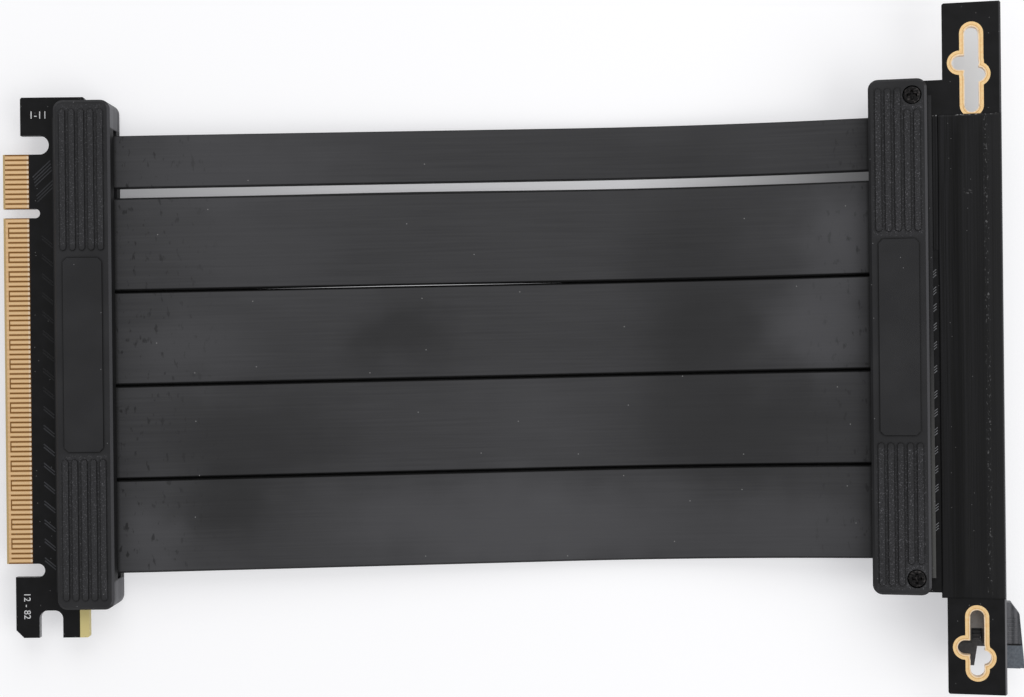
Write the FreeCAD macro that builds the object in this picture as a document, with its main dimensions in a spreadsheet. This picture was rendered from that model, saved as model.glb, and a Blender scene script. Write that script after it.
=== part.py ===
# Card-edge extension cable: a sixteen-lane plug board and socket board joined by two layers of ribbons
# X runs along the cable, Y along the connectors, Z up; the cable lies on the plane Z = 0
import FreeCAD, Part
import math
import os

import Sketcher
from FreeCAD import Placement, Rotation, Vector

# Driving dimensions in millimetres and degrees
SIZES = {
    # Both boards
    "board_thickness": 1.6,
    "board_overlap": 5.5,
    "board_corner": 0.3,
    # Contact spacing shared by the plug and the socket
    "contact_pitch": 1.0,
    "contacts_before_key": 11,
    "contacts_after_key": 71,
    "end_margin": 0.65,
    "key_margin": 0.55,
    "key_gap": 1.9,
    # Plug board, measured from the tip of its tongue and from the middle of its covers
    "plug_reach": 23.0,
    "tongue_top": 41.36,
    "key_depth": 7.6,
    "tab_left": 3.7,
    "tab_margin": 1.1,
    "upper_relief_width": 3.85,
    "upper_relief_depth": 9.55,
    "lower_relief_width": 2.75,
    "lower_relief_depth": 7.9,
    "hook_left": 1.85,
    "hook_right": 6.65,
    "hook_length": 5.6,
    "hook_chamfer": 1.6,
    "arch_right": 11.5,
    "arch_drop": 9.66,
    "arch_radius": 1.7,
    "bevel_length": 0.45,
    "bevel_depth": 0.25,
    "finger_start": 0.5,
    "finger_end": 5.35,
    "finger_width": 0.8,
    "plating": 0.05,
    # Moulded covers, the same tool form at both ends
    "cover_width": 11.6,
    "cover_length": 104.0,
    "cover_rise": 4.0,
    "cover_corner": 2.0,
    "cover_edge": 0.5,
    "cover_wall": 1.2,
    "lip_reach": 0.9,
    "lip_height": 0.9,
    "lip_inset": 1.2,
    "relief_height": 0.3,
    "rib_count": 5,
    "short_rib_count": 2,
    "rib_pitch": 1.92,
    "rib_width": 1.1,
    "rib_cut": 0.32,
    "rib_end": 2.0,
    "short_rib_end": 6.4,
    "rib_inner_gap": 1.65,
    "panel_length": 39.5,
    "panel_width": 7.9,
    "panel_corner": 0.8,
    "fit": 0.2,
    # Cover screws
    "screw_inset": 8.7,
    "screw_end": 3.35,
    "screw_head_radius": 1.8,
    "screw_head_height": 1.1,
    "screw_head_sink": 0.15,
    "screw_shank_half": 0.95,
    "screw_bite": 2.9,
    "screw_clearance": 0.1,
    # Ribbons
    "ribbon_run": 155.0,
    "ribbon_inset": 4.7,
    "ribbon_thickness": 1.15,
    "layer_gap": 0.1,
    "ribbon_end": 7.025,
    "lane_ribbon_gap": 0.45,
    "lane_ribbon_count": 4,
    "power_ribbon_width": 10.9,
    "power_ribbon_gap": 2.1,
    "ribbon_margin": 1.2,
    "ribbon_straight": 3.0,
    "ribbon_bend": 217.0,
    "ribbon_clearance": 0.3,
    # Stripped conductor ends
    "conductor_height": 0.3,
    "conductor_length": 3.6,
    "conductor_margin": 0.9,
    "solder_gap": 0.15,
    # Socket board, measured from the cable side of its covers and from its middle
    "socket_tilt": 13.0,
    "socket_shift": 1.88,
    "socket_cover_offset": 2.44,
    "strip_left": 14.7,
    "strip_width": 11.5,
    "strip_length": 139.7,
    "shoulder_top_gap": 0.04,
    "shoulder_margin": 0.89,
    "shoulder_step": 1.05,
    "shoulder_step_left": 13.64,
    # Mounting slots
    "slot_width": 3.1,
    "upper_slot_length": 17.6,
    "upper_slot_end": 13.55,
    "lower_slot_length": 13.8,
    "lower_slot_end": 10.35,
    "lobe_width": 3.3,
    "lobe_left": 4.0,
    "lobe_right": 2.9,
    "upper_lobe_left_rise": 1.4,
    "upper_lobe_right_rise": 1.0,
    "lower_lobe_left_rise": 0.9,
    "lower_lobe_right_rise": 2.9,
    "ring_width": 0.8,
    # Insulation film
    "film_thickness": 0.15,
    "film_top_end": 22.55,
    "film_bottom_end": 19.4,
    "film_inset": 0.2,
    # Slot connector
    "housing_width": 7.5,
    "housing_height": 11.25,
    "housing_end": 2.0,
    "well_width": 3.6,
    "well_depth": 8.8,
    "card_play": 0.15,
    "spring_width": 0.55,
    "spring_thickness": 0.26,
    "spring_foot": 1.45,
    "spring_lean": 0.75,
    "spring_tip_depth": 1.0,
    # Latch tower and latch
    "tower_reach": 17.2,
    "tower_width": 6.8,
    "tower_height": 9.2,
    "tower_standoff": 0.3,
    "tower_channel": 1.9,
    "channel_open": 3.0,
    "channel_roof": 2.2,
    "pivot_inset": 2.0,
    "pivot_depth": 4.5,
    "pivot_radius": 1.0,
    "pivot_clearance": 0.1,
    "arm_thickness": 1.5,
    "arm_inner": 1.9,
    "arm_top": 1.7,
    "nose_reach": 3.4,
    "nose_top": 5.0,
    "nose_bottom": 5.9,
    "nose_slope": 0.8,
    "bar_gap": 0.4,
    "bar_width": 1.1,
    "bar_top": 0.9,
    "bar_thickness": 2.8,
    "tab_reach": 4.95,
    "tab_width": 3.0,
    "spine_reach": 4.0,
    "spine_root": 0.2,
    "spine_tip": 0.45,
    "spine_left": 1.5,
    "paddle_inner": 4.9,
    "paddle_shoulder": 6.95,
    "paddle_bend": 8.65,
    "paddle_outer": 9.55,
    "paddle_near": 8.0,
    "paddle_bend_drop": 2.4,
    "paddle_far": 4.3,
    "grip_height": 0.5,
    "grip_end": 0.6,
}


class Size:
    """A length together with the sheet expression that it comes from."""

    def __init__(self, text, value):
        self.text = text
        self.value = value

    def joined(self, sign, other, value):
        return Size(f"({self.text} {sign} {other.text})", value)

    def __add__(self, other):
        other = as_size(other)
        return self.joined("+", other, self.value + other.value)

    def __sub__(self, other):
        other = as_size(other)
        return self.joined("-", other, self.value - other.value)

    def __mul__(self, other):
        other = as_size(other)
        return self.joined("*", other, self.value * other.value)

    def __truediv__(self, other):
        other = as_size(other)
        return self.joined("/", other, self.value / other.value)

    def __neg__(self):
        return Size(f"(0 - {self.text})", -self.value)


def as_size(number):
    """Plain numbers become sizes of their own."""
    if isinstance(number, Size):
        return number
    return Size(repr(number), number)


def make_sheet(doc):
    """Write the driving dimensions to the sheet, one aliased cell each."""
    sheet = doc.addObject("Spreadsheet::Sheet", "sizes")
    for row, (name, value) in enumerate(SIZES.items(), start=1):
        sheet.set(f"A{row}", name)
        sheet.set(f"B{row}", str(value))
        sheet.setAlias(f"B{row}", name)
    doc.recompute()
    return sheet


class Dimensions:
    """The sheet's cells by name, each as a Size."""

    def __init__(self, sheet):
        for name in SIZES:
            setattr(self, name, Size(f"{sheet.Name}.{name}", float(sheet.get(name))))


DOC = FreeCAD.newDocument("card_edge_extension_cable")
S = Dimensions(make_sheet(DOC))
ZERO = as_size(0)


# Sketch and feature helpers


def new_body(label):
    body = DOC.addObject("PartDesign::Body", label)
    body.Label = label
    body.AllowCompound = True
    return body


def new_sketch(body, plane, height=ZERO):
    """An empty sketch on one of the body's origin planes, raised along the plane's normal."""
    sketch = body.newObject("Sketcher::SketchObject", f"{body.Label}_sketch")
    support = [item for item in body.Origin.OriginFeatures if item.Role == plane]
    sketch.AttachmentSupport = [(support[0], "")]
    sketch.MapMode = "FlatFace"
    sketch.setExpression("AttachmentOffset.Base.z", height.text)
    return sketch


def bind(sketch, kind, geometry, point, size):
    """Hold one coordinate of a sketch point at a size measured from the origin."""
    origin_geometry = -1
    origin_point = 1
    constraint = Sketcher.Constraint(kind, origin_geometry, origin_point, geometry, point, size.value)
    index = sketch.addConstraint(constraint)
    sketch.setExpression(f"Constraints[{index}]", size.text)


def hold_point(sketch, geometry, point, place):
    bind(sketch, "DistanceX", geometry, point, place[0])
    bind(sketch, "DistanceY", geometry, point, place[1])


def flat(place):
    return Vector(place[0].value, place[1].value, 0)


def draw_polygon(sketch, corners):
    """A closed outline of straight edges through the given corners."""
    corners = [(as_size(x), as_size(y)) for x, y in corners]
    first = sketch.GeometryCount
    count = len(corners)
    for index, corner in enumerate(corners):
        following = corners[(index + 1) % count]
        sketch.addGeometry(Part.LineSegment(flat(corner), flat(following)))
    for index, corner in enumerate(corners):
        following = first + (index + 1) % count
        sketch.addConstraint(Sketcher.Constraint("Coincident", first + index, 2, following, 1))
        hold_point(sketch, first + index, 1, corner)


def draw_rectangle(sketch, low, high):
    draw_polygon(sketch, [low, (high[0], low[1]), high, (low[0], high[1])])


def draw_blunt_bar(sketch, low, high, cut):
    """A rectangle with its four corners cut off at 45 degrees."""
    corners = [
        (low[0] + cut, low[1]),
        (high[0] - cut, low[1]),
        (high[0], low[1] + cut),
        (high[0], high[1] - cut),
        (high[0] - cut, high[1]),
        (low[0] + cut, high[1]),
        (low[0], high[1] - cut),
        (low[0], low[1] + cut),
    ]
    draw_polygon(sketch, corners)


def draw_octagon(sketch, centre, half):
    """A regular octagon, half as wide as given across its flats, for threads and holes that stay hidden."""
    low = (centre[0] - half, centre[1] - half)
    high = (centre[0] + half, centre[1] + half)
    draw_blunt_bar(sketch, low, high, half * (2 - math.sqrt(2)))


def draw_circle(sketch, centre, radius):
    centre = (as_size(centre[0]), as_size(centre[1]))
    circle = sketch.addGeometry(Part.Circle(flat(centre), Vector(0, 0, 1), radius.value))
    index = sketch.addConstraint(Sketcher.Constraint("Radius", circle, radius.value))
    sketch.setExpression(f"Constraints[{index}]", radius.text)
    hold_point(sketch, circle, 3, centre)


def draw_round_slot(sketch, start, end, radius):
    """A slot with two half-round ends, along X or Y from one centre to the other."""
    start = (as_size(start[0]), as_size(start[1]))
    end = (as_size(end[0]), as_size(end[1]))
    along = (flat(end) - flat(start)).normalize()
    side = Vector(-along.y, along.x, 0) * radius.value
    turn = math.atan2(along.y, along.x)
    quarter = math.pi / 2
    first = sketch.GeometryCount
    start_circle = Part.Circle(flat(start), Vector(0, 0, 1), radius.value)
    end_circle = Part.Circle(flat(end), Vector(0, 0, 1), radius.value)
    edges = [
        Part.ArcOfCircle(start_circle, turn + quarter, turn + 3 * quarter),
        Part.LineSegment(flat(start) - side, flat(end) - side),
        Part.ArcOfCircle(end_circle, turn - quarter, turn + quarter),
        Part.LineSegment(flat(end) + side, flat(start) + side),
    ]
    for edge in edges:
        sketch.addGeometry(edge)
    for index in range(len(edges)):
        following = first + (index + 1) % len(edges)
        sketch.addConstraint(Sketcher.Constraint("Tangent", first + index, 2, following, 1))
    index = sketch.addConstraint(Sketcher.Constraint("Radius", first, radius.value))
    sketch.setExpression(f"Constraints[{index}]", radius.text)
    hold_point(sketch, first, 3, start)
    hold_point(sketch, first + 2, 3, end)


def pad(body, sketch, length, both_ways=False):
    feature = body.newObject("PartDesign::Pad", f"{body.Label}_pad")
    feature.Profile = sketch
    feature.setExpression("Length", length.text)
    feature.Midplane = both_ways
    DOC.recompute()
    return feature


def pocket(body, sketch, depth, upwards=False, both_ways=False):
    """Cut a sketch into the body and make sure that the cut removes material."""
    before = body.Shape.Volume
    feature = body.newObject("PartDesign::Pocket", f"{body.Label}_pocket")
    feature.Profile = sketch
    feature.setExpression("Length", depth.text)
    feature.Reversed = upwards
    feature.Midplane = both_ways
    DOC.recompute()
    if body.Shape.Volume >= before:
        raise RuntimeError(f"a pocket of {body.Label} cuts nothing")
    return feature


def round_edges(body, radius, chosen, kind="PartDesign::Fillet"):
    """Round or bevel the edges that pass the test."""
    base = body.Tip
    names = [f"Edge{index}" for index, edge in enumerate(base.Shape.Edges, start=1) if chosen(edge)]
    feature = body.newObject(kind, f"{body.Label}_edge")
    feature.Base = (base, names)
    feature.setExpression("Radius" if kind == "PartDesign::Fillet" else "Size", radius.text)
    DOC.recompute()
    return feature


def is_upright(edge):
    """A straight edge along Z."""
    return edge.BoundBox.XLength < TINY and edge.BoundBox.YLength < TINY


def stands_at(edge, corners):
    """An upright edge at one of the given places in plan."""
    if not is_upright(edge):
        return False
    foot = edge.Vertexes[0].Point
    return any(math.hypot(foot.x - x.value, foot.y - y.value) < TINY for x, y in corners)


TINY = 1e-4


# Sizes that several pieces share

HALF_BOARD = S.board_thickness / 2
COVER_TOP = HALF_BOARD + S.cover_rise
HALF_HEIGHT = COVER_TOP + S.relief_height
HALF_COVER = S.cover_length / 2
BOARD_EDGE = S.cover_width - S.board_overlap
PLUG_BOARD_END = S.plug_reach - BOARD_EDGE
PLUG_SCREW_X = S.plug_reach - S.screw_inset
HALF_SPREAD = HALF_COVER - S.screw_end
BOARD_HOLE = S.screw_shank_half + S.fit
TONGUE_SHORT = S.contact_pitch * (S.contacts_before_key - 1) + S.end_margin + S.key_margin
TONGUE_LONG = S.contact_pitch * (S.contacts_after_key - 1) + S.end_margin + S.key_margin
KEY_TOP = S.tongue_top - TONGUE_SHORT
KEY_BOTTOM = KEY_TOP - S.key_gap
TONGUE_BOTTOM = KEY_BOTTOM - TONGUE_LONG
CABLE_WIDTH = S.cover_length - S.ribbon_end * 2
LANES_WIDTH = CABLE_WIDTH - S.power_ribbon_gap - S.power_ribbon_width
LANE_GAPS = S.lane_ribbon_gap * (S.lane_ribbon_count - 1)
LANE_WIDTH = (LANES_WIDTH - LANE_GAPS) / S.lane_ribbon_count
HALF_STACK = S.ribbon_thickness + S.layer_gap / 2
CAVITY_HALF = CABLE_WIDTH / 2 + S.ribbon_margin
SLOT_AXIS = S.strip_left + S.strip_width / 2
HALF_STRIP = S.strip_length / 2
FILM_TOP = HALF_STRIP - S.film_top_end
SHOULDER_TOP = S.socket_cover_offset + HALF_COVER - S.shoulder_top_gap
SHOULDER_BOTTOM = S.socket_cover_offset - HALF_COVER - S.shoulder_margin
MOUTH = -(HALF_BOARD + S.housing_height)


def contact_rows():
    """Places of the contacts along Y, measured from the middle of the covers."""
    pitch = S.contact_pitch.value
    before = S.tongue_top.value - S.end_margin.value
    after = KEY_BOTTOM.value - S.key_margin.value
    places = [before - index * pitch for index in range(int(S.contacts_before_key.value))]
    places += [after - index * pitch for index in range(int(S.contacts_after_key.value))]
    return places


def ribbon_rows():
    """Name, lower edge along Y and width of the ribbons of one layer."""
    rows = []
    edge = -CABLE_WIDTH.value / 2
    count = int(S.lane_ribbon_count.value)
    for index in range(count):
        rows.append((f"lane_ribbon_{{}}_{count - index}", edge, LANE_WIDTH.value))
        edge += LANE_WIDTH.value + S.lane_ribbon_gap.value
    edge += S.power_ribbon_gap.value - S.lane_ribbon_gap.value
    rows.append(("power_ribbon_{}", edge, S.power_ribbon_width.value))
    return rows


# Where the two ends stand

TILT = math.radians(S.socket_tilt.value)
MOUTH_EDGE = SLOT_AXIS.value - S.housing_width.value / 2
SOCKET_Z = -(MOUTH_EDGE * math.sin(TILT) + MOUTH.value * math.cos(TILT))
PADDLE_TIP = SLOT_AXIS.value + S.paddle_outer.value
PADDLE_FOOT = -HALF_BOARD.value - S.pivot_depth.value - S.bar_top.value - S.bar_thickness.value
SOCKET_REACH = PADDLE_TIP * math.cos(TILT) - PADDLE_FOOT * math.sin(TILT)
OVERALL = S.plug_reach.value + S.ribbon_run.value + SOCKET_REACH
PLUG_X = -OVERALL / 2
PLUG_FACE_X = PLUG_X + S.plug_reach.value
SOCKET_X = PLUG_FACE_X + S.ribbon_run.value
SOCKET_COVER_Y = S.socket_cover_offset.value
PLUG_Y = SOCKET_COVER_Y - S.socket_shift.value

PLUG_END = Placement(Vector(PLUG_X, PLUG_Y, HALF_HEIGHT.value), Rotation())
SOCKET_END = Placement(Vector(SOCKET_X, 0, SOCKET_Z), Rotation(Vector(0, 1, 0), -S.socket_tilt.value))
COVER_ON_SOCKET = Placement(Vector(0, SOCKET_COVER_Y, 0), Rotation())
COVER_ON_PLUG = Placement(Vector(S.plug_reach.value, 0, 0), Rotation(Vector(0, 0, 1), 180))
TURNED_OVER = Placement(Vector(0, 0, 0), Rotation(Vector(1, 0, 0), 180))


def finish(piece, place):
    piece.Placement = place
    return piece


def solid_feature(label, shape, place):
    """A piece whose shape is worked out from the sizes by a loop or a formula."""
    piece = DOC.addObject("Part::Feature", label)
    piece.Label = label
    piece.Shape = shape
    return finish(piece, place)


# Plug board


def plug_board():
    body = new_body("plug_board")
    upper_middle = S.tongue_top + S.upper_relief_width / 2
    lower_middle = TONGUE_BOTTOM - S.lower_relief_width / 2
    tab_top = HALF_COVER + S.tab_margin
    arch_top = TONGUE_BOTTOM - S.arch_drop
    bottom = arch_top - S.hook_length
    outline = new_sketch(body, "XY_Plane", -HALF_BOARD)
    corners = [
        (PLUG_BOARD_END, tab_top),
        (S.tab_left, tab_top),
        (S.tab_left, upper_middle),
        (ZERO, upper_middle),
        (ZERO, lower_middle),
        (S.hook_left, lower_middle),
        (S.hook_left, bottom),
        (S.hook_right, bottom),
        (S.hook_right, arch_top),
        (S.arch_right, arch_top),
        (S.arch_right, bottom),
        (PLUG_BOARD_END, bottom),
    ]
    draw_polygon(outline, corners)
    pad(body, outline, S.board_thickness)
    arch = [(S.hook_right, arch_top), (S.arch_right, arch_top)]
    round_edges(body, S.arch_radius, lambda edge: stands_at(edge, arch))
    hook = [(S.hook_left, bottom)]
    round_edges(body, S.hook_chamfer, lambda edge: stands_at(edge, hook), "PartDesign::Chamfer")
    outer = [(S.tab_left, tab_top), (PLUG_BOARD_END, tab_top), (PLUG_BOARD_END, bottom)]
    round_edges(body, S.board_corner, lambda edge: stands_at(edge, outer), "PartDesign::Chamfer")
    notches = new_sketch(body, "XY_Plane", HALF_BOARD)
    notch_sizes = [
        (upper_middle, S.upper_relief_width, S.upper_relief_depth),
        ((KEY_TOP + KEY_BOTTOM) / 2, S.key_gap, S.key_depth),
        (lower_middle, S.lower_relief_width, S.lower_relief_depth),
    ]
    for middle, width, depth in notch_sizes:
        radius = width / 2
        draw_round_slot(notches, (-width, middle), (depth - radius, middle), radius)
    pocket(body, notches, S.board_thickness)
    holes = new_sketch(body, "XY_Plane", HALF_BOARD)
    draw_octagon(holes, (PLUG_SCREW_X, HALF_SPREAD), BOARD_HOLE)
    draw_octagon(holes, (PLUG_SCREW_X, -HALF_SPREAD), BOARD_HOLE)
    pocket(body, holes, S.board_thickness)
    bevels = new_sketch(body, "XZ_Plane")
    low_step = S.bevel_depth - HALF_BOARD
    draw_polygon(bevels, [(ZERO, -HALF_BOARD), (S.bevel_length, -HALF_BOARD), (ZERO, low_step)])
    draw_polygon(bevels, [(ZERO, HALF_BOARD), (S.bevel_length, HALF_BOARD), (ZERO, -low_step)])
    pocket(body, bevels, S.cover_length, both_ways=True)
    return finish(body, PLUG_END)


def plug_contacts(label, front):
    """Gold fingers of one face as thin plates, with the key's gap between the two groups."""
    base = HALF_BOARD.value if front else -HALF_BOARD.value - S.plating.value
    length = S.finger_end.value - S.finger_start.value
    width = S.finger_width.value
    fingers = []
    for row in contact_rows():
        corner = Vector(S.finger_start.value, row - width / 2, base)
        fingers.append(Part.makeBox(length, width, S.plating.value, corner))
    return solid_feature(label, Part.makeCompound(fingers), PLUG_END)


# Conductor ends, the same five tinned bands at all four solder rows


def conductor_ends(label, place, upper):
    """Soldered bands that run from the ribbons' cut ends onto one face of the board, in a cover's frame."""
    height = S.conductor_height.value
    margin = S.conductor_margin.value
    start = S.ribbon_inset.value + S.solder_gap.value
    base = HALF_BOARD.value if upper else -HALF_BOARD.value - height
    bands = []
    for _, edge, width in ribbon_rows():
        corner = Vector(start, edge + margin, base)
        bands.append(Part.makeBox(S.conductor_length.value, width - 2 * margin, height, corner))
    return solid_feature(label, Part.makeCompound(bands), place)


# Covers


def add_ribs(body, first, count, outer):
    """Two groups of grip ribs, above and below the middle panel, repeated across the cover."""
    half = S.rib_width / 2
    inner = S.panel_length / 2 + S.rib_inner_gap
    for low, high in ((inner, outer), (-outer, -inner)):
        sketch = new_sketch(body, "XY_Plane", COVER_TOP)
        draw_blunt_bar(sketch, (first - half, low), (first + half, high), S.rib_cut)
        rib = pad(body, sketch, S.relief_height)
        pattern = body.newObject("PartDesign::LinearPattern", f"{body.Label}_ribs")
        pattern.Originals = [rib]
        pattern.Direction = (sketch, ["H_Axis"])
        pattern.setExpression("Length", (S.rib_pitch * (count - 1)).text)
        pattern.setExpression("Occurrences", as_size(count).text)
        body.Tip = pattern
        DOC.recompute()


def cover(label, place, driven):
    """One cover half; X runs from the cable side to the board, and driven halves take the screw heads."""
    body = new_body(label)
    block = new_sketch(body, "XY_Plane", HALF_BOARD)
    draw_rectangle(block, (ZERO, -HALF_COVER), (S.cover_width, HALF_COVER))
    pad(body, block, S.cover_rise)
    foot = new_sketch(body, "XY_Plane")
    draw_rectangle(foot, (ZERO, -HALF_COVER), (BOARD_EDGE - S.fit, HALF_COVER))
    pad(body, foot, HALF_BOARD)
    corners = [(x, y) for x in (ZERO, S.cover_width) for y in (HALF_COVER, -HALF_COVER)]
    round_edges(body, S.cover_corner, lambda edge: stands_at(edge, corners))
    top = COVER_TOP.value
    round_edges(body, S.cover_edge, lambda edge: edge.BoundBox.ZMin > top - TINY, "PartDesign::Chamfer")
    lip = new_sketch(body, "XY_Plane", HALF_BOARD)
    lip_end = HALF_COVER - S.cover_corner - S.lip_inset
    draw_rectangle(lip, (S.cover_width - S.cover_wall, -lip_end), (S.cover_width + S.lip_reach, lip_end))
    pad(body, lip, S.lip_height)
    cavity = new_sketch(body, "XY_Plane")
    draw_rectangle(cavity, (S.cover_wall, -CAVITY_HALF), (S.cover_width - S.cover_wall, CAVITY_HALF))
    pocket(body, cavity, COVER_TOP - S.cover_wall, upwards=True)
    mouth = new_sketch(body, "XY_Plane")
    draw_rectangle(mouth, (ZERO, -CAVITY_HALF), (S.cover_wall, CAVITY_HALF))
    pocket(body, mouth, HALF_STACK + S.fit, upwards=True)
    middle = S.cover_width / 2
    panel = new_sketch(body, "XY_Plane", COVER_TOP)
    panel_low = (middle - S.panel_width / 2, -S.panel_length / 2)
    panel_high = (middle + S.panel_width / 2, S.panel_length / 2)
    draw_blunt_bar(panel, panel_low, panel_high, S.panel_corner)
    pad(body, panel, S.relief_height)
    first_rib = middle - S.rib_pitch * (S.rib_count - 1) / 2
    rib_outer = HALF_COVER - S.rib_end
    if driven:
        add_ribs(body, first_rib, S.rib_count - S.short_rib_count, rib_outer)
        first_short = first_rib + S.rib_pitch * (S.rib_count - S.short_rib_count)
        add_ribs(body, first_short, S.short_rib_count, HALF_COVER - S.short_rib_end)
    else:
        add_ribs(body, first_rib, S.rib_count, rib_outer)
    shank = new_sketch(body, "XY_Plane")
    for y in (HALF_SPREAD, -HALF_SPREAD):
        draw_octagon(shank, (S.screw_inset, y), S.screw_shank_half + S.screw_clearance)
    if driven:
        pocket(body, shank, COVER_TOP, upwards=True)
        heads = new_sketch(body, "XY_Plane", COVER_TOP)
        for y in (HALF_SPREAD, -HALF_SPREAD):
            draw_circle(heads, (S.screw_inset, y), S.screw_head_radius + S.screw_clearance)
        pocket(body, heads, S.screw_head_height + S.screw_head_sink)
    else:
        pocket(body, shank, HALF_BOARD + S.screw_bite + S.screw_clearance, upwards=True)
    return finish(body, place)


def cover_screws(label, place):
    """Two pan-head screws, in the frame of the cover that takes their heads."""
    body = new_body(label)
    head_top = COVER_TOP - S.screw_head_sink
    head_foot = head_top - S.screw_head_height
    tip = -(HALF_BOARD + S.screw_bite)
    middles = [(S.screw_inset, HALF_SPREAD), (S.screw_inset, -HALF_SPREAD)]
    heads = new_sketch(body, "XY_Plane", head_foot)
    shanks = new_sketch(body, "XY_Plane", tip)
    for middle in middles:
        draw_circle(heads, middle, S.screw_head_radius)
        draw_octagon(shanks, middle, S.screw_shank_half)
    pad(body, heads, S.screw_head_height)
    pad(body, shanks, head_foot - tip)
    return finish(body, place)


# Ribbons


def ribbon_path():
    """Corner data of the line midway between the two layers: straight, bend, straight, bend, straight."""
    inset = S.ribbon_inset.value
    straight = S.ribbon_straight.value
    rise = Vector(math.cos(TILT), 0, math.sin(TILT))
    start = Vector(PLUG_FACE_X - inset, 0, HALF_HEIGHT.value)
    first_bend = Vector(PLUG_FACE_X + straight, 0, HALF_HEIGHT.value)
    face = Vector(SOCKET_X, 0, SOCKET_Z)
    end = face + rise * inset
    last_bend = face - rise * straight
    lowest = HALF_STACK.value + S.ribbon_clearance.value
    radius_up = (last_bend.z - lowest) / (1 - math.cos(TILT))
    bottom = Vector(last_bend.x - radius_up * math.sin(TILT), 0, lowest)
    radius_down = S.ribbon_bend.value
    both = radius_down + radius_up
    drop = first_bend.z - lowest
    run = bottom.x - first_bend.x
    slope = math.atan2(run, both - drop) - math.acos(both / math.hypot(run, both - drop))
    return {
        "start": start,
        "first_bend": first_bend,
        "last_bend": last_bend,
        "end": end,
        "centre_down": first_bend - Vector(0, 0, radius_down),
        "centre_up": bottom + Vector(0, 0, radius_up),
        "radius_down": radius_down,
        "radius_up": radius_up,
        "slope": slope,
    }


def polar(centre, radius, angle):
    """A point at a radius from a centre in the XZ plane; the angle is measured from +X towards +Z."""
    return centre + Vector(radius * math.cos(angle), 0, radius * math.sin(angle))


def offset_edges(path, offset):
    """The path's edges moved sideways by an offset, upwards if positive."""
    up = math.pi / 2
    slope = path["slope"]
    lift = Vector(0, 0, offset)
    tilted_lift = Vector(-math.sin(TILT), 0, math.cos(TILT)) * offset
    over = path["radius_down"] + offset
    under = path["radius_up"] - offset
    arc_down = [polar(path["centre_down"], over, up - share * slope) for share in (0, 0.5, 1)]
    turns = [-slope, (TILT - slope) / 2, TILT]
    arc_up = [polar(path["centre_up"], under, turn - up) for turn in turns]
    return [
        Part.LineSegment(path["start"] + lift, arc_down[0]).toShape(),
        Part.Arc(*arc_down).toShape(),
        Part.LineSegment(arc_down[2], arc_up[0]).toShape(),
        Part.Arc(*arc_up).toShape(),
        Part.LineSegment(arc_up[2], path["end"] + tilted_lift).toShape(),
    ]


def ribbon(label, path, edge, width, front):
    """One ribbon: the band between two offsets of the path, as wide as the ribbon, laid slightly askew."""
    gap = S.layer_gap.value / 2
    thickness = S.ribbon_thickness.value
    low, high = (gap, gap + thickness) if front else (-gap - thickness, -gap)
    upper = offset_edges(path, high)
    lower = offset_edges(path, low)
    upper_ends = (upper[0].Vertexes[0].Point, upper[-1].Vertexes[-1].Point)
    lower_ends = (lower[0].Vertexes[0].Point, lower[-1].Vertexes[-1].Point)
    caps = [Part.LineSegment(a, b).toShape() for a, b in zip(upper_ends, lower_ends)]
    outline = Part.Wire(Part.__sortEdges__(upper + lower + caps))
    band = Part.Face(outline).extrude(Vector(0, width, 0))
    middle = Vector((path["start"].x + path["end"].x) / 2, width / 2, 0)
    skew = math.degrees(math.atan2(S.socket_shift.value, path["end"].x - path["start"].x))
    middle_y = (PLUG_Y + SOCKET_COVER_Y) / 2 + edge + width / 2
    turned = Placement(Vector(middle.x, middle_y, 0), Rotation(Vector(0, 0, 1), skew))
    return solid_feature(label, band, turned * Placement(-middle, Rotation()))


# Socket board and what lies on it


def mounting_slots():
    """The three round slots that make each cross-shaped mounting hole: ends and radius."""
    slots = []
    sizes = [
        (HALF_STRIP - S.upper_slot_end, S.upper_slot_length, S.upper_lobe_left_rise, -S.upper_lobe_right_rise),
        (S.lower_slot_end - HALF_STRIP, S.lower_slot_length, -S.lower_lobe_left_rise, -S.lower_lobe_right_rise),
    ]
    lobe = S.lobe_width / 2
    for middle, length, left_rise, right_rise in sizes:
        radius = S.slot_width / 2
        reach = length / 2 - radius
        slots.append(((SLOT_AXIS, middle - reach), (SLOT_AXIS, middle + reach), radius))
        left_y = middle + left_rise
        right_y = middle + right_rise
        slots.append(((SLOT_AXIS - S.lobe_left + lobe, left_y), (SLOT_AXIS, left_y), lobe))
        slots.append(((SLOT_AXIS, right_y), (SLOT_AXIS + S.lobe_right - lobe, right_y), lobe))
    return slots


def cut_mounting_slots(body, height, depth):
    for start, end, radius in mounting_slots():
        sketch = new_sketch(body, "XY_Plane", height)
        draw_round_slot(sketch, start, end, radius)
        pocket(body, sketch, depth)


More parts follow.
